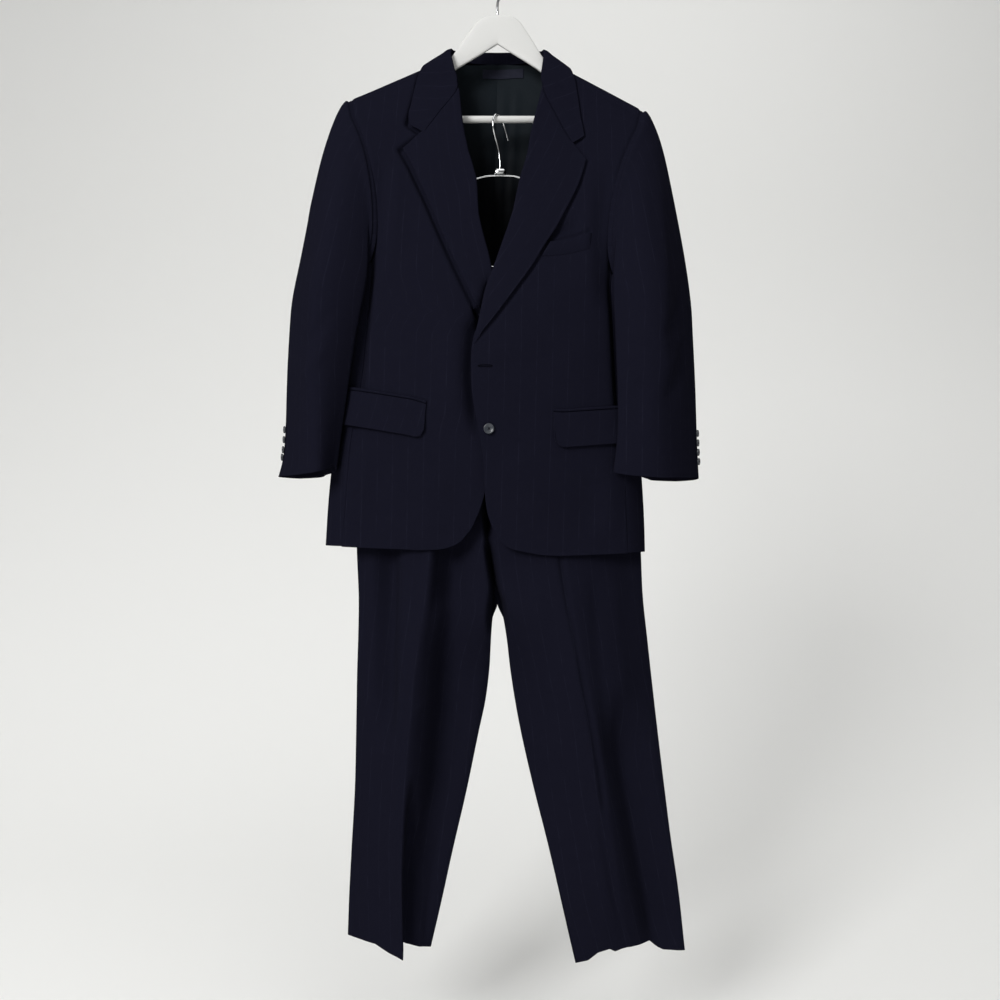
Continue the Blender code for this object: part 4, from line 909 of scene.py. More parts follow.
pocket = {
    "left": {"x": 99, "drop": 703, "length": 124, "rise": 0.085},
    "right": {"x": 94, "drop": 704, "length": 134, "rise": 0.17},
    "depth": 53.0, "corner": 14.0, "slant": 4.0, "lift": 2.6, "standOff": 1.6, "lower": 3.0,
    "columns": 40, "rows": 18,
    "jetDepth": 5.0, "jetAbove": 0.6, "jetLift": 1.0, "jetRound": 1.9, "jetRows": 9,
    "cut": {"left": (0.153, 0.053, 0.0071), "right": (0.166, 0.054, 0.0080)},
}


def pocketFlat(hand, above, below, rows, corner=0.0, slant=0.0):
    # x and drop over a strip along the pocket's mouth
    p = pocket[hand]
    # closer points near both ends, for the rounded corners
    t = (1 - np.cos(math.pi * np.linspace(0, 1, pocket["columns"]))) / 2
    x, drop = p["x"] + p["length"] * t, p["drop"] - p["rise"] * p["length"] * t
    fromEnd = np.minimum(x - p["x"], p["x"] + p["length"] - x)
    short = np.maximum(corner - fromEnd, 0)
    cut = corner - np.sqrt(np.maximum(corner**2 - short**2, 0)) if corner else 0
    v = np.linspace(0, 1, rows)[:, None]
    low = drop + below - cut
    down = drop[None] - above + (low - drop + above)[None] * v
    return np.stack([x[None] + slant * v, down], 2), t


for hand, sign in hands:
    flat, t = pocketFlat(hand, 0.0, pocket["depth"], pocket["rows"], pocket["corner"], pocket["slant"])
    v = np.linspace(0, 1, pocket["rows"])[:, None]
    grid, ways = laid(flat, hand, pocket["lift"] + pocket["standOff"] * t[None] + pocket["lower"] * v**2)
    flap = skin(f"pocketFlap_{hand}", crisp(laidWay(grid)), navyWool, f"pocket_flap_{hand}", 1.7, anchor=1)
    above = pocket["jetAbove"]
    flat, t = pocketFlat(hand, pocket["jetDepth"] + above, -above, pocket["jetRows"])
    v = np.linspace(0, 1, pocket["jetRows"])[:, None]
    height = pocket["jetLift"] + pocket["jetRound"] * np.sin(math.pi * v) ** 0.7
    grid, ways = laid(flat, hand, height + pocket["standOff"] * t[None])
    jet = skin(f"pocketJet_{hand}", crisp(laidWay(grid), 0.4), navyWool, f"pocket_jet_{hand}", 0.9, anchor=1)

breastWelt = {
    # corners as x and drop: the upper two from the middle of the body outwards, then the lower two back
    "corners": [(89, 443), (152, 424), (150, 449), (77, 468)],
    "lift": 2.5, "round": 0.6, "rows": 9, "columns": 24,
    "cut": (0.0755, 0.0266, 0.0016),
}
upperIn, upperOut, lowerOut, lowerIn = (np.array(p, float) for p in breastWelt["corners"])
u = np.linspace(0, 1, breastWelt["columns"])[None, :]
v = np.linspace(0, 1, breastWelt["rows"])[:, None]
upper = upperIn + (upperOut - upperIn) * u[..., None]
lower = lowerIn + (lowerOut - lowerIn) * u[..., None]
flat = upper * (1 - v[..., None]) + lower * v[..., None]
# it is sewn down along its foot and its outer end
sewn = (1 - 0.8 * v**3) * (1 - 0.7 * ease((u - 0.93) / 0.07))
grid, ways = laid(flat, "left", (breastWelt["lift"] + breastWelt["round"] * np.sin(math.pi * v)) * sewn)
piece = skin("breastWelt", crisp(laidWay(grid), 0.6), navyWool, "breast_welt", 1.7, anchor=1)
print("pockets made")

collar = {
    # fold and outer edge, from the centre of the back neck to the notch
    "rows": [
        (0, 107, 48, 0, 152, 55.5), (31, 107.8, 44, 38, 152, 54), (55, 110.5, 33.5, 72, 152, 46.5),
        (70, 116.5, 18.5, 92, 150, 35), (73, 121, 3, 104.5, 146.5, 10), (73.5, 134, -12.5, 115, 156.5, -15),
        (71, 160, -21, 123, 174, -19.5), (69.5, 180, -24, 128.5, 200, -22), (71, 197, -25.5, 132.5, 228, -28),
        (93.5, 237, -31, 136.3, 246, -32), (117, 276.5, -38, 139.3, 263.5, -35),
    ],
    # how far in the fold lies on the wearer's right, where the front beneath rolls lower
    "rightIn": [0, 0, 0, 0, 0, 0, 4, 8.5, 11.4, 9.5, 8.3], "endIn": 3.6,
    # the rows where it comes down on the front, where its fold turns sharp, and where the gorge begins
    "onFront": 6, "creaseRow": 7, "gorgeRow": 8,
    "rollRadius": 2.6, "creaseRadius": 0.15, "rollTuck": 3.0, "creaseTuck": 0.1,
    "lift": 3.0, "belly": 2.0, "level": 0.6, "levelTo": 0.3, "gorgeSink": 0.35, "gorgeTo": 0.35,
    "columns": 22, "along": 150, "atCorner": 12,
    "cut": (0.560, 0.076, 0.0275),
}


def collarHalf(hand):
    # drawn on the wearer's left: it stands free round the neck, then lies down on the front
    table = np.array(collar["rows"], float)
    fold, edge = table[:, [0, 2, 1]] * (1, 1, -1), table[:, [3, 5, 4]] * (1, 1, -1)
    if hand == "right":
        fold[:, 0] -= collar["rightIn"]
        edge[-1, 0] -= collar["endIn"]
    away = unit((edge - fold) * (1, 1, 0))
    run = runAlong((fold + edge) / 2)
    # closer points keep the corner at the collar's end sharp
    corner = np.linspace(run[-3], run[-1], collar["atCorner"] + 1)[1:]
    places = np.concatenate([np.linspace(0, run[-3], collar["along"] - collar["atCorner"]), corner])
    fold, edge = curve(run, fold, places), curve(run, edge, places)
    away = unit(curve(run, away, places))
    t = np.linspace(0, 1, collar["columns"])
    start = fold + away * collar["rollRadius"]
    body = start[:, None] + (edge - start)[:, None] * t[None, :, None]
    belly = collar["belly"] * np.sin(math.pi * t)
    body = body + away[:, None] * belly[None, :, None]
    # a level roll near the fold
    level = (1 - ease(t / collar["levelTo"]))[None, :, None] * (start[:, None, 2:] - body[..., 2:])
    body[..., 2:] += level * collar["level"]
    share = between(places, run[collar["onFront"] - 1], run[collar["onFront"] + 1])
    up = np.tile(np.array([0.0, 0, 1]), (len(places), 1))
    first = int(np.argmax(share > 0))
    flat = np.stack([body[first:, :, 0], -body[first:, :, 2]], 2)
    gorge = ease((places[first:, None] - run[collar["gorgeRow"]] + 8) / 16)
    gorge = gorge * (1 - ease(t[None] / collar["gorgeTo"]))
    onto, ways = laid(flat, hand, collar["lift"] - collar["gorgeSink"] * gorge)
    if hand == "right":
        onto, ways = mirrored(onto), mirrored(ways)
    s = share[first:, None, None]
    body[first:] = body[first:] * (1 - s) + onto * s
    up[first:] = unit(up[first:] * (1 - s[:, 0]) + ways[:, 0] * s[:, 0])
    roll = 1 - ease((places - run[collar["creaseRow"]] + 6) / 16)
    radius = collar["creaseRadius"] + (collar["rollRadius"] - collar["creaseRadius"]) * roll
    tuck = collar["creaseTuck"] + (collar["rollTuck"] - collar["creaseTuck"]) * roll
    return wrapped(body, up, radius, tuck)


leftCollar, rightCollar = collarHalf("left"), mirrored(collarHalf("right"))
grid = np.concatenate([rightCollar[:0:-1], leftCollar]).swapaxes(0, 1)
grid = facing(grid, (0, 0))
piece = skin("topCollar", crisp(grid), navyWool, "collar", 1.3, anchor=1)
under = ["jacket_back_left", "jacket_back_right", "jacket_front_left", "jacket_front_right"]

stand = {
    # foot of the band, from the centre of the back neck to its end
    "foot": [(0, 46.4), (29.5, 42.3), (53.5, 32.2), (69.5, 18.5), (74.5, 9.5)],
    "top": [107, 107.8, 110.5, 116.5, 119.5],
    "footDrop": 127.2, "rise": 9.0, "underFold": 1.6, "rows": 10, "columns": 60,
    "cut": (0.177, 0.0186, 0.00297),
}
foot = np.array(stand["foot"], float)
share = np.linspace(0, 1, len(foot))
low = np.stack([foot[:, 0], foot[:, 1], -(stand["footDrop"] + stand["rise"] * share**2)], 1)
high = np.stack([foot[:, 0] * 0.985, foot[:, 1] + 1.0, -(np.array(stand["top"]) + stand["underFold"])], 1)
low, high = (alongPath(np.concatenate([mirrored(p[:0:-1]), p]), stand["columns"]) for p in (low, high))
v = np.linspace(0, 1, stand["rows"])[:, None, None]
grid = high[None] * (1 - v) + low[None] * v
piece = skin("collarStand", crisp(facing(grid, (0, 0)), 0.5), navyWool, "collar_stand", 1.3, anchor=1)
print("collar made")

lining = {
    # from which row of the back to which, and how far inside it
    "rows": (2, 17), "offBack": 3.4, "offNeck": 0.8, "calmTo": 136, "calmFade": 30, "mostIn": -1.4,
    "cut": {"left": (0.277, 0.807, 0.147), "right": (0.272, 0.807, 0.147)},
}
liningFolds = [
    ([(2, 140), (1, 300), (3, 600)], 3.5, -1.6), ([(12, 140), (10, 300), (12, 560)], 7, 1.1),
    ([(-14, 150), (-12, 260), (-16, 520)], 8, 1.0), ([(34, 150), (30, 250), (24, 430)], 5, 1.3),
    ([(24, 150), (20, 260), (16, 420)], 5, -1.2), ([(-34, 150), (-30, 260), (-24, 430)], 6, -1.2),
    ([(-46, 150), (-42, 240), (-36, 420)], 6, 1.1), ([(60, 170), (54, 260), (50, 420)], 8, 1.2),
    ([(-64, 180), (-58, 300), (-60, 460)], 9, 1.2), ([(0, 230), (18, 250), (40, 250)], 8, 0.8),
    ([(90, 300), (84, 420), (90, 600)], 16, 1.4), ([(-96, 300), (-90, 430), (-96, 600)], 16, 1.4),
]
back, _ = backGrid()
table = np.array(jacketBack["rows"], float)
knots = (table[:, 0] + table[:, 3]) / 2
places = steps(knots, jacketBack["gap"])
keep = (places >= knots[lining["rows"][0]]) & (places <= knots[lining["rows"][1]])
liningSurfaces = []
for hand, sign in hands:
    grid = back if sign > 0 else mirrored(back)
    grid = facing(grid, (sign * 100, 0))
    down = ease((places - knots[2]) / 20)
    off = clothWall + lining["offNeck"] + (lining["offBack"] - lining["offNeck"]) * down
    grid = lifted(grid, np.repeat(-off[:, None], grid.shape[1], axis=1))[keep]
    grid[..., 0] = np.maximum(grid[..., 0] * sign, 0) * sign
    away = outward(grid)
    soft = swells(grid, liningFolds) * ease((-grid[..., 2] - lining["calmTo"]) / lining["calmFade"])
    grid = grid - away * np.maximum(soft, lining["mostIn"])[..., None]
    grid = drawnIn(grid, left=0.15, right=0.15)
    piece = skin(f"lining_{hand}", crisp(grid, 0.5), liningSatin, f"lining_back_{hand}", liningWall, anchor=1)
    liningSurfaces.append(grid)
print("lining made")

label = {
    "x": (-24, 43), "drop": (137, 151), "lift": 1.4, "wall": 0.7, "behind": 44, "rows": 9, "columns": 30,
    "cut": (0.0676, 0.0144, 0.00096),
}
across = np.linspace(*label["x"], label["columns"])
drops = np.linspace(*label["drop"], label["rows"])
liningTrees = [treeOf(lifted(g, np.full(g.shape[:2], -liningWall))) for g in liningSurfaces]
spots = []
for drop in drops:
    row = []
    for x in across:
        hits = [castAt(tree, x, drop)[0] for tree in liningTrees]
        row.append(min([hit.y for hit in hits if hit] or [label["behind"]]))
    spots.append(row)
depth = np.array(spots)
# it spans the lining's hollows
for _ in range(6):
    depth[:, 1:-1] = np.minimum(depth[:, 1:-1], (depth[:, :-2] + depth[:, 2:]) / 2)
x, z = np.broadcast_to(across, depth.shape), np.broadcast_to(-drops[:, None], depth.shape)
grid = np.stack([x, depth - label["lift"], z], 2)
piece = skin("neckLabel", crisp(laidWay(grid), 0.5), finishes["label"], "neck_label", label["wall"], anchor=1)
print("label made")

trouser = {
    # outseam, pressed front crease, inner edge and back crease, at each drop
    "left": [
        (530.5, 200, 0, 90, -5.5, 0.4, -5.5, 92, 5.5), (575, 203, 0, 91, -20, 0.4, -19.5, 93, 17),
        (640, 207, 0, 92, -30.5, 0.4, -30, 94, 26), (710, 213, 0, 93, -36, 0.4, -33, 96, 31),
        (775, 219, 0, 94, -40, 0.4, -27, 100, 33), (842, 225, 0, 95, -43, 0.4, -4, 104, 34),
        (921, 229, 0, 97, -45, 1, 8, 108, 34), (1005, 233, 0, 108, -53, 5, 12, 114, 44),
        (1060, 239, 0, 117, -58, 14, 12, 120, 54), (1120, 245.5, 0, 125.5, -60, 21, 8, 128.5, 60),
        (1182, 252, -4, 139, -59, 31, 0, 139, 64), (1290, 264, -10, 152, -55, 55, -16, 159, 66),
        (1382, 275, -15, 169, -52, 79, -35, 177, 66), (1458, 285.5, -20, 181.5, -49, 97.5, -50, 190, 64),
        (1549, 295, -25, 201, -47, 120, -62, 206, 62),
    ],
    "right": [
        (530.5, 212, 0, 94, -5.5, 0.4, -5.5, 96, 5.5), (575, 214, 0, 95, -20, 0.4, -19.5, 97, 17),
        (640, 217, 0, 96, -30.5, 0.4, -30, 98, 26), (710, 220, 0, 98, -36, 0.4, -33, 100, 31),
        (775, 223, 0, 100, -40, 0.4, -27, 102, 33), (842, 225, 0, 103, -43, 0.4, -4, 105, 34),
        (921, 225, 0, 106, -45, 1, 8, 108, 34), (1005, 222, 0, 113, -54, 6, 12, 116, 48),
        (1060, 223, 1, 121, -59, 10, 11, 122, 60), (1120, 225, 2, 129, -61, 13.5, 8, 130, 68),
        (1166, 226, 3.5, 132.5, -61, 19.5, 5, 135.5, 72),
        (1212, 227, 5, 137, -61, 29.5, 1, 142, 76), (1305, 229.5, 8, 144, -62, 49, -5, 150, 81),
        (1412, 236, 13, 148, -63, 74, -11, 158, 84), (1480, 240, 17, 147, -64, 89, -15, 162, 85),
        (1549, 243, 21, 145, -65, 105, -20, 166, 85),
    ],
    "quarter": 37, "gap": 5.5, "bulge": 0.045,
    "hills": 1.1, "calmTo": 560, "calmFade": 60, "nearCrease": 0.15,
    # how the fronts' creases show on the backs: wider, and weaker the other way
    "backWide": 1.2, "backHigh": -0.7,
    # the fork, and down to where the two legs touch, each eased in or out between two drops
    "forkDrop": 842.0, "overlap": -0.5, "seatLow": 1021.0, "seatFade": 14, "togetherOut": (972, 1012),
    # how far forward the inner edges come, and the narrow, deep valley between them
    "thighRaise": -30.0, "thighIn": (770, 830), "thighOut": (1000, 1130),
    "valley": 34.0, "valleyReach": 5.2, "valleyIn": (800, 830), "valleyOut": (1016, 1066),
    # where the valley is shallower: drop, reach and share
    "bridge": (906, 15, 0.6),
    "dipFade": (1430, 1549),
    "cut": {
        "trouserFront_left": (0.282, 1.090, 0.243), "trouserBack_left": (0.286, 1.090, 0.259),
        "trouserFront_right": (0.282, 1.080, 0.244), "trouserBack_right": (0.258, 1.077, 0.248),
    },
    # how far the slit between the legs leans to the wearer's right, at each drop
    "lean": [(740, 0), (800, -16), (868, -16), (924, -13), (972, -5), (1004, 0)], "leanReach": 28.0,
}
# creases on the legs' fronts, as (path of x and drop, half width, height)
legCreases = {
    "left": [
        ([(150, 930), (156, 1060), (170, 1200), (186, 1300)], 12, -3.4),
        ([(180, 930), (190, 1060), (206, 1180)], 14, 2.4),
        ([(60, 940), (66, 1060), (84, 1180)], 18, 2.2),
        ([(186, 1120), (214, 1300), (232, 1400), (250, 1500), (262, 1620)], 28, -30.0),
        ([(150, 1150), (172, 1360), (196, 1560)], 12, 2.5),
        ([(140, 1300), (160, 1420), (176, 1530)], 14, 2.4),
    ],
    "right": [
        ([(-170, 770), (-173, 960), (-178, 1260)], 17, -19.0),
        ([(-196, 860), (-196, 1000), (-198, 1160)], 10, 3.0),
        (
            [(-56, 780), (-60, 940), (-68, 1164), (-79, 1276), (-92, 1340), (-112, 1436), (-118, 1600)],
            32, -30.0,
        ),
        ([(-100, 1160), (-130, 1164), (-160, 1150)], 7, 1.8),
        ([(-182, 1230), (-186, 1400), (-190, 1530)], 14, -3.2),
        ([(-130, 1260), (-131, 1440), (-130, 1640)], 13, -16.0),
        ([(-72, 800), (-75, 900), (-79, 1030)], 22, -12.0),
        ([(-148, 1080), (-150, 1380), (-148, 1540)], 9, 3.0),
    ],
}
# the shade line beside the pressed crease
creaseLines = {
    "left": [([(93, 900), (109, 1003), (135, 1141), (158, 1260), (168, 1340)], 4.2, -4.5)],
    "right": [],
}
# how far the hem dips below its level, at shares round the leg from the inner edge
hemDips = {
    "left": [
        (0, 5), (0.058, 2), (0.106, -9), (0.163, -13), (0.19, -8), (0.226, -11), (0.26, -12), (0.364, -12),
        (0.4, -1), (0.42, 2.6), (0.5, 3), (0.62, -3), (0.75, 2), (0.88, -4), (1, 5),
    ],
    "right": [
        (0, 0), (0.08, -4), (0.16, -12), (0.225, -24), (0.25, 0), (0.30, -3), (0.36, -9), (0.43, -5),
        (0.5, 0), (0.62, -3), (0.75, 2), (0.88, -3), (1, 0),
    ],
}


def legLoops(hand):
    # a leg drawn on the wearer's left: from the inner edge round the front and the outseam to the back
    table = np.array(trouser[hand], float)
    drops = steps(table[:, 0], trouser["gap"])
    r = curve(table[:, 0], table[:, 1:], drops)
    z = -drops
    r[:, 4] = np.where(drops < trouser["forkDrop"], trouser["overlap"], r[:, 4])
    open_ = drops <= trouser["forkDrop"] + 0.1
    near = np.where(open_, ease((trouser["forkDrop"] - drops) / 45), ease((drops - trouser["forkDrop"]) / 40))
    thigh = between(drops, *trouser["thighIn"]) * (1 - between(drops, *trouser["thighOut"]))
    innerY = r[:, 5] * near * (1 - thigh) + trouser["thighRaise"] * thigh
    together = (drops > trouser["forkDrop"]) * (1 - between(drops, *trouser["togetherOut"]))
    r[:, 4] = r[:, 4] * (1 - together) + trouser["overlap"] * together
    valley = trouser["valley"] * between(drops, *trouser["valleyIn"])
    valley = valley * (1 - between(drops, *trouser["valleyOut"]))
    at, reach, share = trouser["bridge"]
    valley = valley * (1 - share * np.exp(-(((drops - at) / reach) ** 2)))
    closed = 1 - ease((drops - trouser["seatLow"] + trouser["seatFade"]) / (2 * trouser["seatFade"]))
    seatX = r[:, 4] * (1 - closed) + trouser["overlap"] * closed
    seatY = np.where(open_, -r[:, 5] * near, innerY + valley)
    lines = [(r[:, 4], innerY), (r[:, 2], r[:, 3]), (r[:, 0], r[:, 1]), (r[:, 6], r[:, 7]), (seatX, seatY)]
    corners = [np.stack([x, y, z], 1) for x, y in lines]
    t = np.linspace(0, 1, trouser["quarter"])[None, :, None]
    parts = []
    for a, b in zip(corners, corners[1:]):
        span = (b - a)[:, None]
        out = np.concatenate([span[..., 1:2], -span[..., 0:1], 0 * span[..., :1]], axis=2) * trouser["bulge"]
        part = a[:, None] + span * t + out * 4 * t * (1 - t)
        parts.append(part if not parts else part[:, 1:])
    loop = np.concatenate(parts, axis=1)
    front = loop[:, : trouser["quarter"]]
    fromInner = (front[..., 0] - front[:, :1, 0]) / trouser["valleyReach"]
    front[..., 1] += valley[:, None] * np.exp(-(fromInner**2))
    loop[..., 0] = np.maximum(loop[..., 0], trouser["overlap"])
    share = np.linspace(0, 1, loop.shape[1])
    dips = np.array(hemDips[hand], float)
    dip = np.interp(share, dips[:, 0], dips[:, 1])
    loop[..., 2] -= dip[None] * between(drops[:, None], *trouser["dipFade"])
    return loop


lean = np.array(trouser["lean"], float)
for hand, sign in hands:
    loop = legLoops(hand)
    half = 2 * (trouser["quarter"] - 1)
    crease = trouser["quarter"] - 1
    for part, cut, side in (("Front", np.s_[:, : half + 1], -1), ("Back", np.s_[:, half:], 1)):
        grid = loop[cut]
        grid = grid if sign > 0 else mirrored(grid)
        hub = loop[len(loop) // 2].mean(0) * (sign, 1, 1)
        grid = facing(grid, hub[:2])
        ways = outward(grid)
        strokes = legCreases[hand]
        if side > 0:
            strokes = [
                (line, wide * trouser["backWide"], high * trouser["backHigh"]) for line, wide, high in strokes
            ]
        down = -grid[..., 2]
        # the pressed crease stays crisp
        away = np.abs(np.arange(grid.shape[1]) - (grid.shape[1] - 1) / 2)[None] / crease
        height = swells(grid, strokes) + uneven(grid, trouser["hills"], 11.0 + sign + side)
        height = height * ease(away / trouser["nearCrease"])
        if side < 0:
            height = height + swells(grid, creaseLines[hand], fade=12.0)
        calm = ease((down - trouser["calmTo"]) / trouser["calmFade"])
        height = height * calm * ease(np.minimum(1 - away, 0.25) * 4 + 0.15)
        grid = grid + ways * height[..., None]
        nearMiddle = np.exp(-((grid[..., 0] / trouser["leanReach"]) ** 2))
        grid[..., 0] += np.interp(down, lean[:, 0], lean[:, 1]) * nearMiddle
        grid = rolledIn(crisp(drawnIn(grid, left=seam, right=seam)), ["left", "right"], 0.4)
        piece = skin(f"trouser{part}_{hand}", grid, navyWool, f"trouser_{part.lower()}_{hand}", clothWall,
                     place=asDrawn, anchor=grid.shape[1] // 2)

waistband = {
    "top": 491.0, "seam": 530.0, "x": 206.5, "y": 5.5, "centre": -6.0, "around": 120, "rows": 12,
    "cut": (0.837, 0.039, 0.0326),
}
angle = np.linspace(0, math.tau, waistband["around"] + 1)
ringX = waistband["centre"] + np.sign(np.sin(angle)) * np.abs(np.sin(angle)) ** 0.8 * waistband["x"]
ringY = -np.sign(np.cos(angle)) * np.abs(np.cos(angle)) ** 0.25 * waistband["y"]
ringX[-1], ringY[-1] = ringX[0], ringY[0]
drops = np.linspace(waistband["top"], waistband["seam"], waistband["rows"])
grid = np.stack([np.stack([ringX, ringY, np.full(len(angle), -drop)], 1) for drop in drops])
piece = skin("waistTop", grid, navyWool, "waistband", 1.8, True, asDrawn, anchor=1)
print("trousers made")

button = {
    "front": {"radius": 8.2, "thick": 3.6, "sides": 40}, "cuff": {"radius": 5.8, "thick": 2.8, "sides": 28},
    # half a section, from the middle of the back round to the front, as shares of the radius and thickness
    "section": [
        (0, 0), (0.86, 0), (0.97, 0.18), (1, 0.45), (0.985, 0.72), (0.93, 0.93), (0.86, 1), (0.78, 0.97),
        (0.70, 0.86), (0.62, 0.78), (0, 0.74),
    ],
    "low": (2.6, 736), "high": (-1.5, 642),
    "cuffCount": 4, "cuffUp": 28.0, "cuffStep": 14.5, "seat": 0.9, "foldSteps": 3,
    "holeOff": 0.28, "holeRadius": 0.1625, "holeUp": 0.742,
    "threadLong": 0.56, "threadWide": 0.12, "threadThick": 0.09, "threadUp": 0.77,
}


def makeButton(name, node, spot, way, size):
    # a turned button with a raised rim, four holes and its thread
    r, h = size["radius"], size["thick"]
    bm = bmesh.new()
    line = [bm.verts.new((r * x * mm, 0, h * z * mm)) for x, z in button["section"]]
    edges = [bm.edges.new(pair) for pair in zip(line, line[1:])]
    bmesh.ops.spin(bm, geom=line + edges, cent=(0, 0, 0), axis=(0, 0, 1), angle=math.tau, steps=size["sides"],
                   use_merge=True)
    bmesh.ops.remove_doubles(bm, verts=bm.verts, dist=1e-6)
    bmesh.ops.recalc_face_normals(bm, faces=bm.faces)
    turn = Vector((0, 0, 1)).rotation_difference(Vector(way)).to_matrix().to_4x4()
    place = Matrix.Translation(Vector(spot) * mm) @ turn
    made = meshPiece(name, bm, finishes["button"], place)
    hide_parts(node)
    bm = bmesh.new()
    for k in range(4):
        a = math.tau * (k + 0.5) / 4
        off, radius = r * button["holeOff"] * mm, r * button["holeRadius"] * mm
        hole = Matrix.Translation((math.cos(a) * off, math.sin(a) * off, h * button["holeUp"] * mm))
        bmesh.ops.create_circle(bm, cap_ends=True, segments=10, radius=radius, matrix=hole)
    long, wide, thick = r * button["threadLong"], r * button["threadWide"], h * button["threadThick"]
    for angle in (math.pi / 4, math.pi * 3 / 4):
        stitch = Matrix.Translation((0, 0, h * button["threadUp"] * mm)) @ Matrix.Rotation(angle, 4, "Z")
        stitch = stitch @ Matrix.Diagonal((long * mm, wide * mm, thick * mm, 1))
        bmesh.ops.create_cube(bm, size=1.0, matrix=stitch)
    meshPiece(name + "_thread", bm, finishes["thread"], place)


def meshPiece(name, bm, shader, place=Matrix.Identity(4), node=None):
    # a smooth piece with sharp edges, from a finished bmesh
    bmesh.ops.transform(bm, matrix=place, verts=bm.verts)
    mesh = bpy.data.meshes.new(name)
    bm.to_mesh(mesh)
    bm.free()
    mesh.shade_smooth()
    mesh.set_sharp_from_angle(angle=math.radians(35))
    piece = bpy.data.objects.new(name, mesh)
    bpy.context.scene.collection.objects.link(piece)
    piece.data.materials.append(shader)
    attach(piece, "root")
    if node:
        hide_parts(node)
    return piece


for name, node, hand, (x, drop), off in (
    ("frontButton_low", "button_lower", "left", button["low"], 1.2),
    ("frontButton_high", "button_upper", "right", button["high"], 0.8),
):
    spot, way = onFront(frontTrees[hand][0], x, drop)
    makeButton(name, node, hang(spot + np.array([0, -off, 0])), (0, -1, 0), button["front"])
for hand, sign in hands:
    ring = sleeveRounds[hand]
    for k in range(button["cuffCount"]):
        up = button["cuffUp"] + button["cuffStep"] * k
        row = int(np.argmin(abs(ring[:, 0, 2] - ring[-1, 0, 2] - up)))
        fold, back = ring[row, 0], ring[row, -1 - button["foldSteps"]]
        along = unit((back - fold)[None])[0]
        way = unit(np.cross([0, 0, 1], along)[None])[0]
        way = way if way[0] * sign > 0 else -way
        spot = (fold + back) / 2 + way * button["seat"]
        side = f"{hand}_{k + 1}"
        makeButton(f"cuffButton_{side}", f"sleeve_button_{side}", hang(spot), way, button["cuff"])
print("buttons made")

woodenHanger = {
    # upper and lower outline, from the middle to one end
    "rows": [
        (0, 68, 115), (14, 68.8, 124), (25, 72, 131), (34, 79, 136.5), (44, 92.5, 142.5), (54, 107, 148.5),
        (63, 121, 154), (72, 134.5, 160), (80, 142.8, 165.5), (92, 148.6, 172), (120, 162.1, 186),
        (160, 181.5, 203), (184, 193.1, 213), (187, 194.6, 248), (205, 203.3, 254), (218, 211, 250),
        (224, 220, 241),
    ],
    "thick": 8.0, "around": 28, "gap": 2.5, "endRound": 2.0,
    "barDrop": 235.2, "barRadius": 5.5, "barEnd": 184.2, "barIn": 5.0,
    "hookRadius": 20.0, "hookWire": 2.2, "hookFoot": 67.6,
}


def tube(points, radius, around=14, capped=True):
    # rings along a path, closed at its ends by small rounded caps
    points = np.array(points, float)
    ways = unit(np.gradient(points, axis=0))
    side = np.cross(ways[0], [0.0, 1.0, 0.02])
    rings = []
    angle = np.linspace(0, math.tau, around + 1)
    for p, way in zip(points, ways):
        side = unit((side - way * (side @ way))[None])[0]
        other = np.cross(way, side)
        rings.append(p + radius * (np.cos(angle)[:, None] * side + np.sin(angle)[:, None] * other))
    rings = np.array(rings)
    if not capped:
        return rings
    ends = []
    for end, ring, way in ((0, rings[0], -ways[0]), (1, rings[-1], ways[-1])):
        hub = points[0] if end == 0 else points[-1]
        cap = [hub + (ring - hub) * math.cos(a) + way * radius * math.sin(a) for a in (0.5, 1.0, 1.35)]
        cap.append(np.repeat((hub + way * radius)[None], around + 1, axis=0))
        ends.append(cap)
    return np.concatenate([np.array(ends[0][::-1]), rings, np.array(ends[1])])


def solidPiece(name, rings, shader, node, place=asDrawn):
    middle = len(rings) // 2
    if outward(rings, True)[middle, 0] @ (rings[middle, 0] - rings[middle, :-1].mean(0)) < 0:
        rings = rings[:, ::-1]
    piece = skin(name, rings, shader, node, ring=True, place=place)
    return piece


table = np.array(woodenHanger["rows"], float)
run = runAlong(table[:, :2])
places = steps(run, woodenHanger["gap"])
half = curve(run, table, places)
half[:, 2] = np.interp(places, run, table[:, 2])
whole = np.concatenate([half[:0:-1] * (-1, 1, 1), half])
angle = np.linspace(0, math.tau, woodenHanger["around"] + 1)
rings = []
for x, top, bottom in whole:
    high, deep = (bottom - top) / 2, woodenHanger["thick"] / 2
    # a flat section with well rounded edges
    y = np.sign(np.sin(angle)) * np.abs(np.sin(angle)) ** 0.5 * deep
    z = np.sign(np.cos(angle)) * np.abs(np.cos(angle)) ** 0.75 * high
    rings.append(np.stack([np.full(len(angle), x), y, z - (top + bottom) / 2], 1))
rings = np.array(rings)
ends = [
    np.array([ring.mean(0) + (ring - ring.mean(0)) * k for k in (0.0, 0.5, 0.85)]) + (out, 0, 0)
    for ring, out in ((rings[0], -woodenHanger["endRound"]), (rings[-1], woodenHanger["endRound"]))
]
rings = np.concatenate([ends[0], rings, ends[1][::-1]])
solidPiece("hangerWood", rings, finishes["paintedWood"], "hanger_body", hang)
swung = hanging["swing"] * (woodenHanger["barDrop"] - hanging["neckDrop"])
reach = woodenHanger["barEnd"] - woodenHanger["barIn"]
ends = [(sign * reach - swung, 0, -woodenHanger["barDrop"]) for sign in (-1, 1)]
bar = tube(np.linspace(*np.array(ends, float), 40), woodenHanger["barRadius"], 24)
solidPiece("hangerBar", bar, finishes["paintedWood"], "hanger_bar")
centre = woodenHanger["hookRadius"] - woodenHanger["hookWire"]
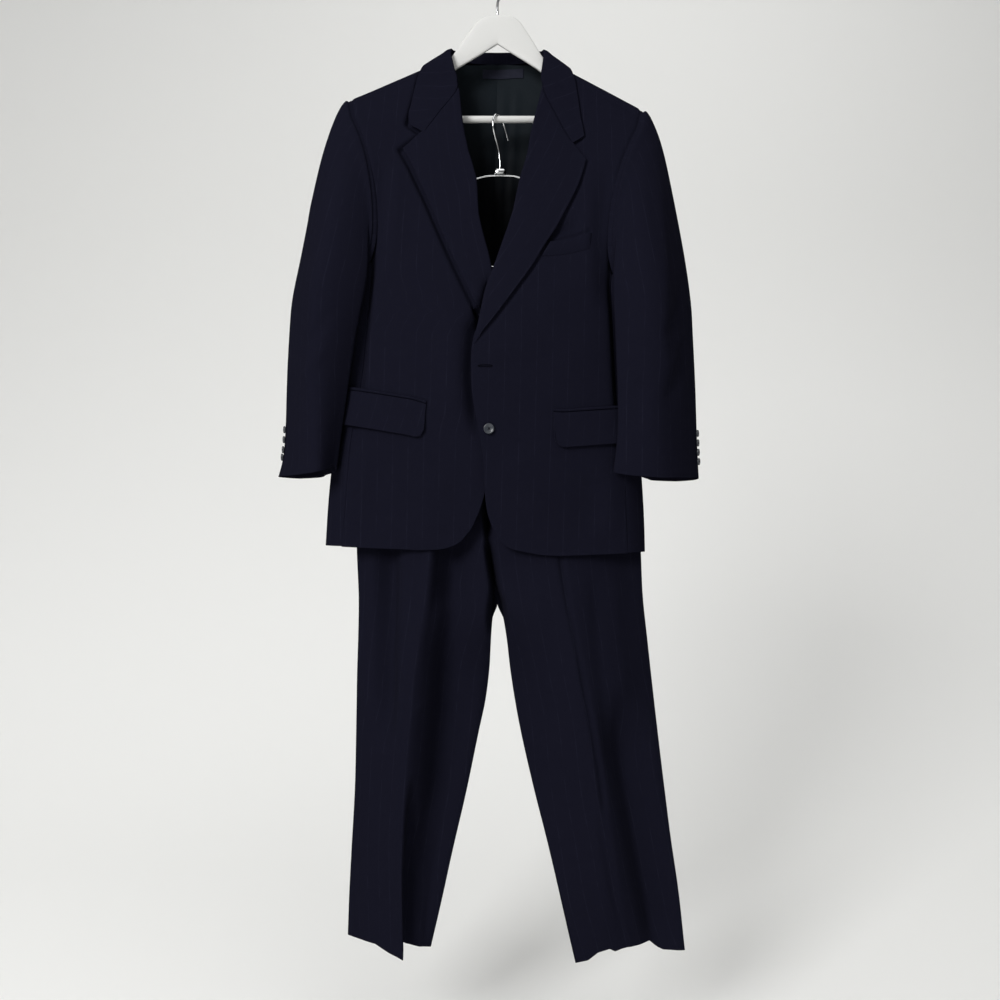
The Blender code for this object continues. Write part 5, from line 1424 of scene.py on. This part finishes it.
route = [(0, 0, -woodenHanger["hookFoot"]), (0, 0, -52), (0.8, 0, -46.5), (4.5, 0, -41)]
for k in range(17):
    a = math.radians(-62 + 15.5 * k)
    x, z = woodenHanger["hookRadius"] * math.cos(a), woodenHanger["hookRadius"] * math.sin(a)
    route.append((x, 0, z - centre))
hook = tube(alongPath(route, 110), woodenHanger["hookWire"])
solidPiece("hangerHook", hook, finishes["chrome"], "hanger_hook")

clipHanger = {
    "wire": 1.5,
    "hook": [
        (17, 262, 17), (13.5, 250, 15.5), (10, 239, 12.5), (6, 230.5, 7), (1.5, 227.6, 0), (-3.5, 231, -7.5),
        (-6.8, 240, -11.5), (-7.2, 250, -11.5), (-4.5, 263, -7), (0.5, 280, -2), (3.6, 297, 0), (4, 311.9, 0),
    ],
    "x": 4.0, "top": 325.0, "bar": 471.0, "half": 176.0, "corner": 20.0,
    "shoulder": [(0, 0), (22, 1.2), (45, 7), (80, 22), (120, 46), (156, 74)],
    "clipAt": 146.0, "clipWide": 30.0, "clipTop": 473.0, "clipLow": 516.0, "clipGap": 5.8, "clipJaw": 2.0,
    "bridge": 6.0,
    "bracket": (20.0, 9.0, 9.0), "ball": 4.2,
}
h = clipHanger
hook = alongPath([(x, y, -drop) for x, drop, y in h["hook"]], 110)
solidPiece("clipHook", tube(hook, h["wire"]), finishes["chrome"], "clip_hook")
half = [(x, h["top"] + drop) for x, drop in h["shoulder"]]
inset = h["half"] - h["corner"]
for k in range(13):
    a = math.radians(40 - 130 * k / 12)
    half.append((inset + h["corner"] * math.cos(a), h["bar"] - h["corner"] - h["corner"] * math.sin(a)))
half += [(90, h["bar"]), (0, h["bar"])]
loop = half + [(-x, drop) for x, drop in reversed(half[1:-1])] + [half[0]]
route = []
for (x, drop), (nextX, nextDrop) in zip(loop, loop[1:]):
    for t in np.linspace(0, 1, 6)[:-1]:
        route.append((h["x"] + x + (nextX - x) * t, 0, -(drop + (nextDrop - drop) * t)))
rings = tube(route, h["wire"], capped=False)
rings = np.concatenate([rings, rings[:1]])
solidPiece("clipFrame", rings, finishes["chrome"], "clip_frame")
wide, deep, tall = h["bracket"]
top = h["top"] - h["wire"] - 0.3
profile = [
    (1.0, 1.0, top - tall - 2 * h["ball"] + 6.2), (3.2, 3.2, top - tall - 2 * h["ball"] + 7.0),
    (4.2, 4.2, top - tall - h["ball"] + 3.2), (3.4, 3.4, top - tall - 1.2), (2.6, 2.6, top - tall + 0.4),
    (wide / 2 - 1, deep / 2 - 1, top - tall + 0.9), (wide / 2, deep / 2, top - tall + 1.8),
    (wide / 2, deep / 2, top - 0.8), (wide / 2 - 0.8, deep / 2 - 0.8, top),
]
profile = [(0.01, 0.01, profile[0][2])] + profile + [(0.01, 0.01, top)]
angle = np.linspace(0, math.tau, 25)
rings = np.array([
    np.stack([h["x"] + np.cos(angle) * x, np.sin(angle) * y, np.full(len(angle), -drop)], 1)
    for x, y, drop in profile
])
solidPiece("clipBracket", rings, finishes["chrome"], "clip_bracket")
for hand, sign in hands:
    x = h["x"] + sign * h["clipAt"]
    bm = bmesh.new()
    outer = h["clipGap"] + h["clipJaw"]
    for side in (-1, 1):
        middle = Vector((x, side * (outer - h["clipJaw"] / 2), -(h["clipTop"] + h["clipLow"]) / 2))
        size = (h["clipWide"] * mm, h["clipJaw"] * mm, (h["clipLow"] - h["clipTop"]) * mm, 1)
        bmesh.ops.create_cube(bm, size=1.0, matrix=Matrix.Translation(middle * mm) @ Matrix.Diagonal(size))
    # the bridge over the waistband
    middle = Vector((x, 0, -(h["clipTop"] + h["bridge"] / 2)))
    size = (h["clipWide"] * mm, 2 * h["clipGap"] * mm, h["bridge"] * mm, 1)
    bmesh.ops.create_cube(bm, size=1.0, matrix=Matrix.Translation(middle * mm) @ Matrix.Diagonal(size))
    piece = meshPiece(f"clipJaws_{hand}", bm, finishes["chrome"], node=f"clip_{hand}")
    bevel = piece.modifiers.new("edges", "BEVEL")
    bevel.width, bevel.segments = 0.5 * mm, 2
print("hangers made")

# a line of close stitches round the upper buttonhole's slit, which shows beside the hidden button; the
# thread, darker than the cloth, is partly its own colour and partly painted shade standing in for the shaded
# slit
buttonhole = {"x": -5.5, "drop": 642, "length": 21.0, "wide": 2.6, "lift": 0.5, "thread": 0.6}
path = []
for a in np.linspace(0, math.tau, 41):
    x = buttonhole["x"] + math.copysign(abs(math.cos(a)) ** 0.6, math.cos(a)) * buttonhole["length"] / 2
    drop = buttonhole["drop"] + math.copysign(abs(math.sin(a)) ** 0.8, math.sin(a)) * buttonhole["wide"] / 2
    spot, way = onFront(frontTrees["left"][0], x, drop)
    path.append(spot + way * buttonhole["lift"])
rings = tube(path, buttonhole["thread"], 8, capped=False)
rings[-1] = rings[0]
skin("buttonhole_top", rings, finishes["thread"], ring=True)
print("buttonhole made")

# a pale paper sweep, in metres
stage = {
    "wallY": 3.2, "floorZ": -1.75, "bend": 2.4, "wide": 24.0, "front": -7.0, "top": 7.0,
    "color": (0.84, 0.84, 0.823), "worldLight": 0.16,
}
profile = [(stage["front"], stage["floorZ"])]
for k in range(17):
    a = math.pi / 2 * k / 16
    y = stage["wallY"] - stage["bend"] + stage["bend"] * math.sin(a)
    profile.append((y, stage["floorZ"] + stage["bend"] * (1 - math.cos(a))))
profile.append((stage["wallY"], stage["top"]))
bm = bmesh.new()
line = [bm.verts.new((-stage["wide"] / 2, y, z)) for y, z in profile]
edges = [bm.edges.new(pair) for pair in zip(line, line[1:])]
made = bmesh.ops.extrude_edge_only(bm, edges=edges)["geom"]
moved = [g for g in made if isinstance(g, bmesh.types.BMVert)]
bmesh.ops.translate(bm, verts=moved, vec=(stage["wide"], 0, 0))
bmesh.ops.recalc_face_normals(bm, faces=bm.faces)
mesh = bpy.data.meshes.new("sweep")
bm.to_mesh(mesh)
bm.free()
mesh.shade_smooth()
sweep = bpy.data.objects.new("sweep", mesh)
bpy.context.scene.collection.objects.link(sweep)
sweep.data.materials.append(plainMaterial("palePaper", stage["color"], 0.7, 0.0, 0.2)[0])

world = bpy.data.worlds.new("studio")
bpy.context.scene.world = world
world.use_nodes = True
world.node_tree.nodes["Background"].inputs["Color"].default_value = (1, 1, 1, 1)
world.node_tree.nodes["Background"].inputs["Strength"].default_value = stage["worldLight"]

# soft light from above, a key light from the front and a wash on the wall
lights = {
    "above": {"kind": "SUN", "at": (0.1, -0.4, 1.0), "to": (0, 0, 0), "power": 1.0, "angle": 60},
    "key": {"kind": "AREA", "at": (-2.1, -3.3, 0.9), "to": (0, 0, -0.8), "power": 150, "size": 1.6},
    "wash": {"kind": "AREA", "at": (0.7, 0.9, 2.3), "to": (0.9, 3.2, -0.1), "power": 20, "size": 2.4},
}
for name, light in lights.items():
    data = bpy.data.lights.new(name, light["kind"])
    data.energy = light["power"]
    if light["kind"] == "SUN":
        data.angle = math.radians(light["angle"])
    else:
        data.shape, data.size = "SQUARE", light["size"]
    lamp = bpy.data.objects.new(name, data)
    lamp.location = light["at"]
    lamp.rotation_euler = (Vector(light["to"]) - Vector(light["at"])).to_track_quat("-Z", "Y").to_euler()
    bpy.context.scene.collection.objects.link(lamp)

view = {"at": (0.004, -1.5, -0.844), "lens": 33.75, "sensor": 36.0}
camera = bpy.data.objects.new("camera", bpy.data.cameras.new("camera"))
camera.location = view["at"]
camera.rotation_euler = (math.pi / 2, 0, 0)
camera.data.lens, camera.data.sensor_width = view["lens"], view["sensor"]
bpy.context.scene.collection.objects.link(camera)
bpy.context.scene.camera = camera
bpy.context.scene.view_settings.view_transform = "Standard"
print("stage made")
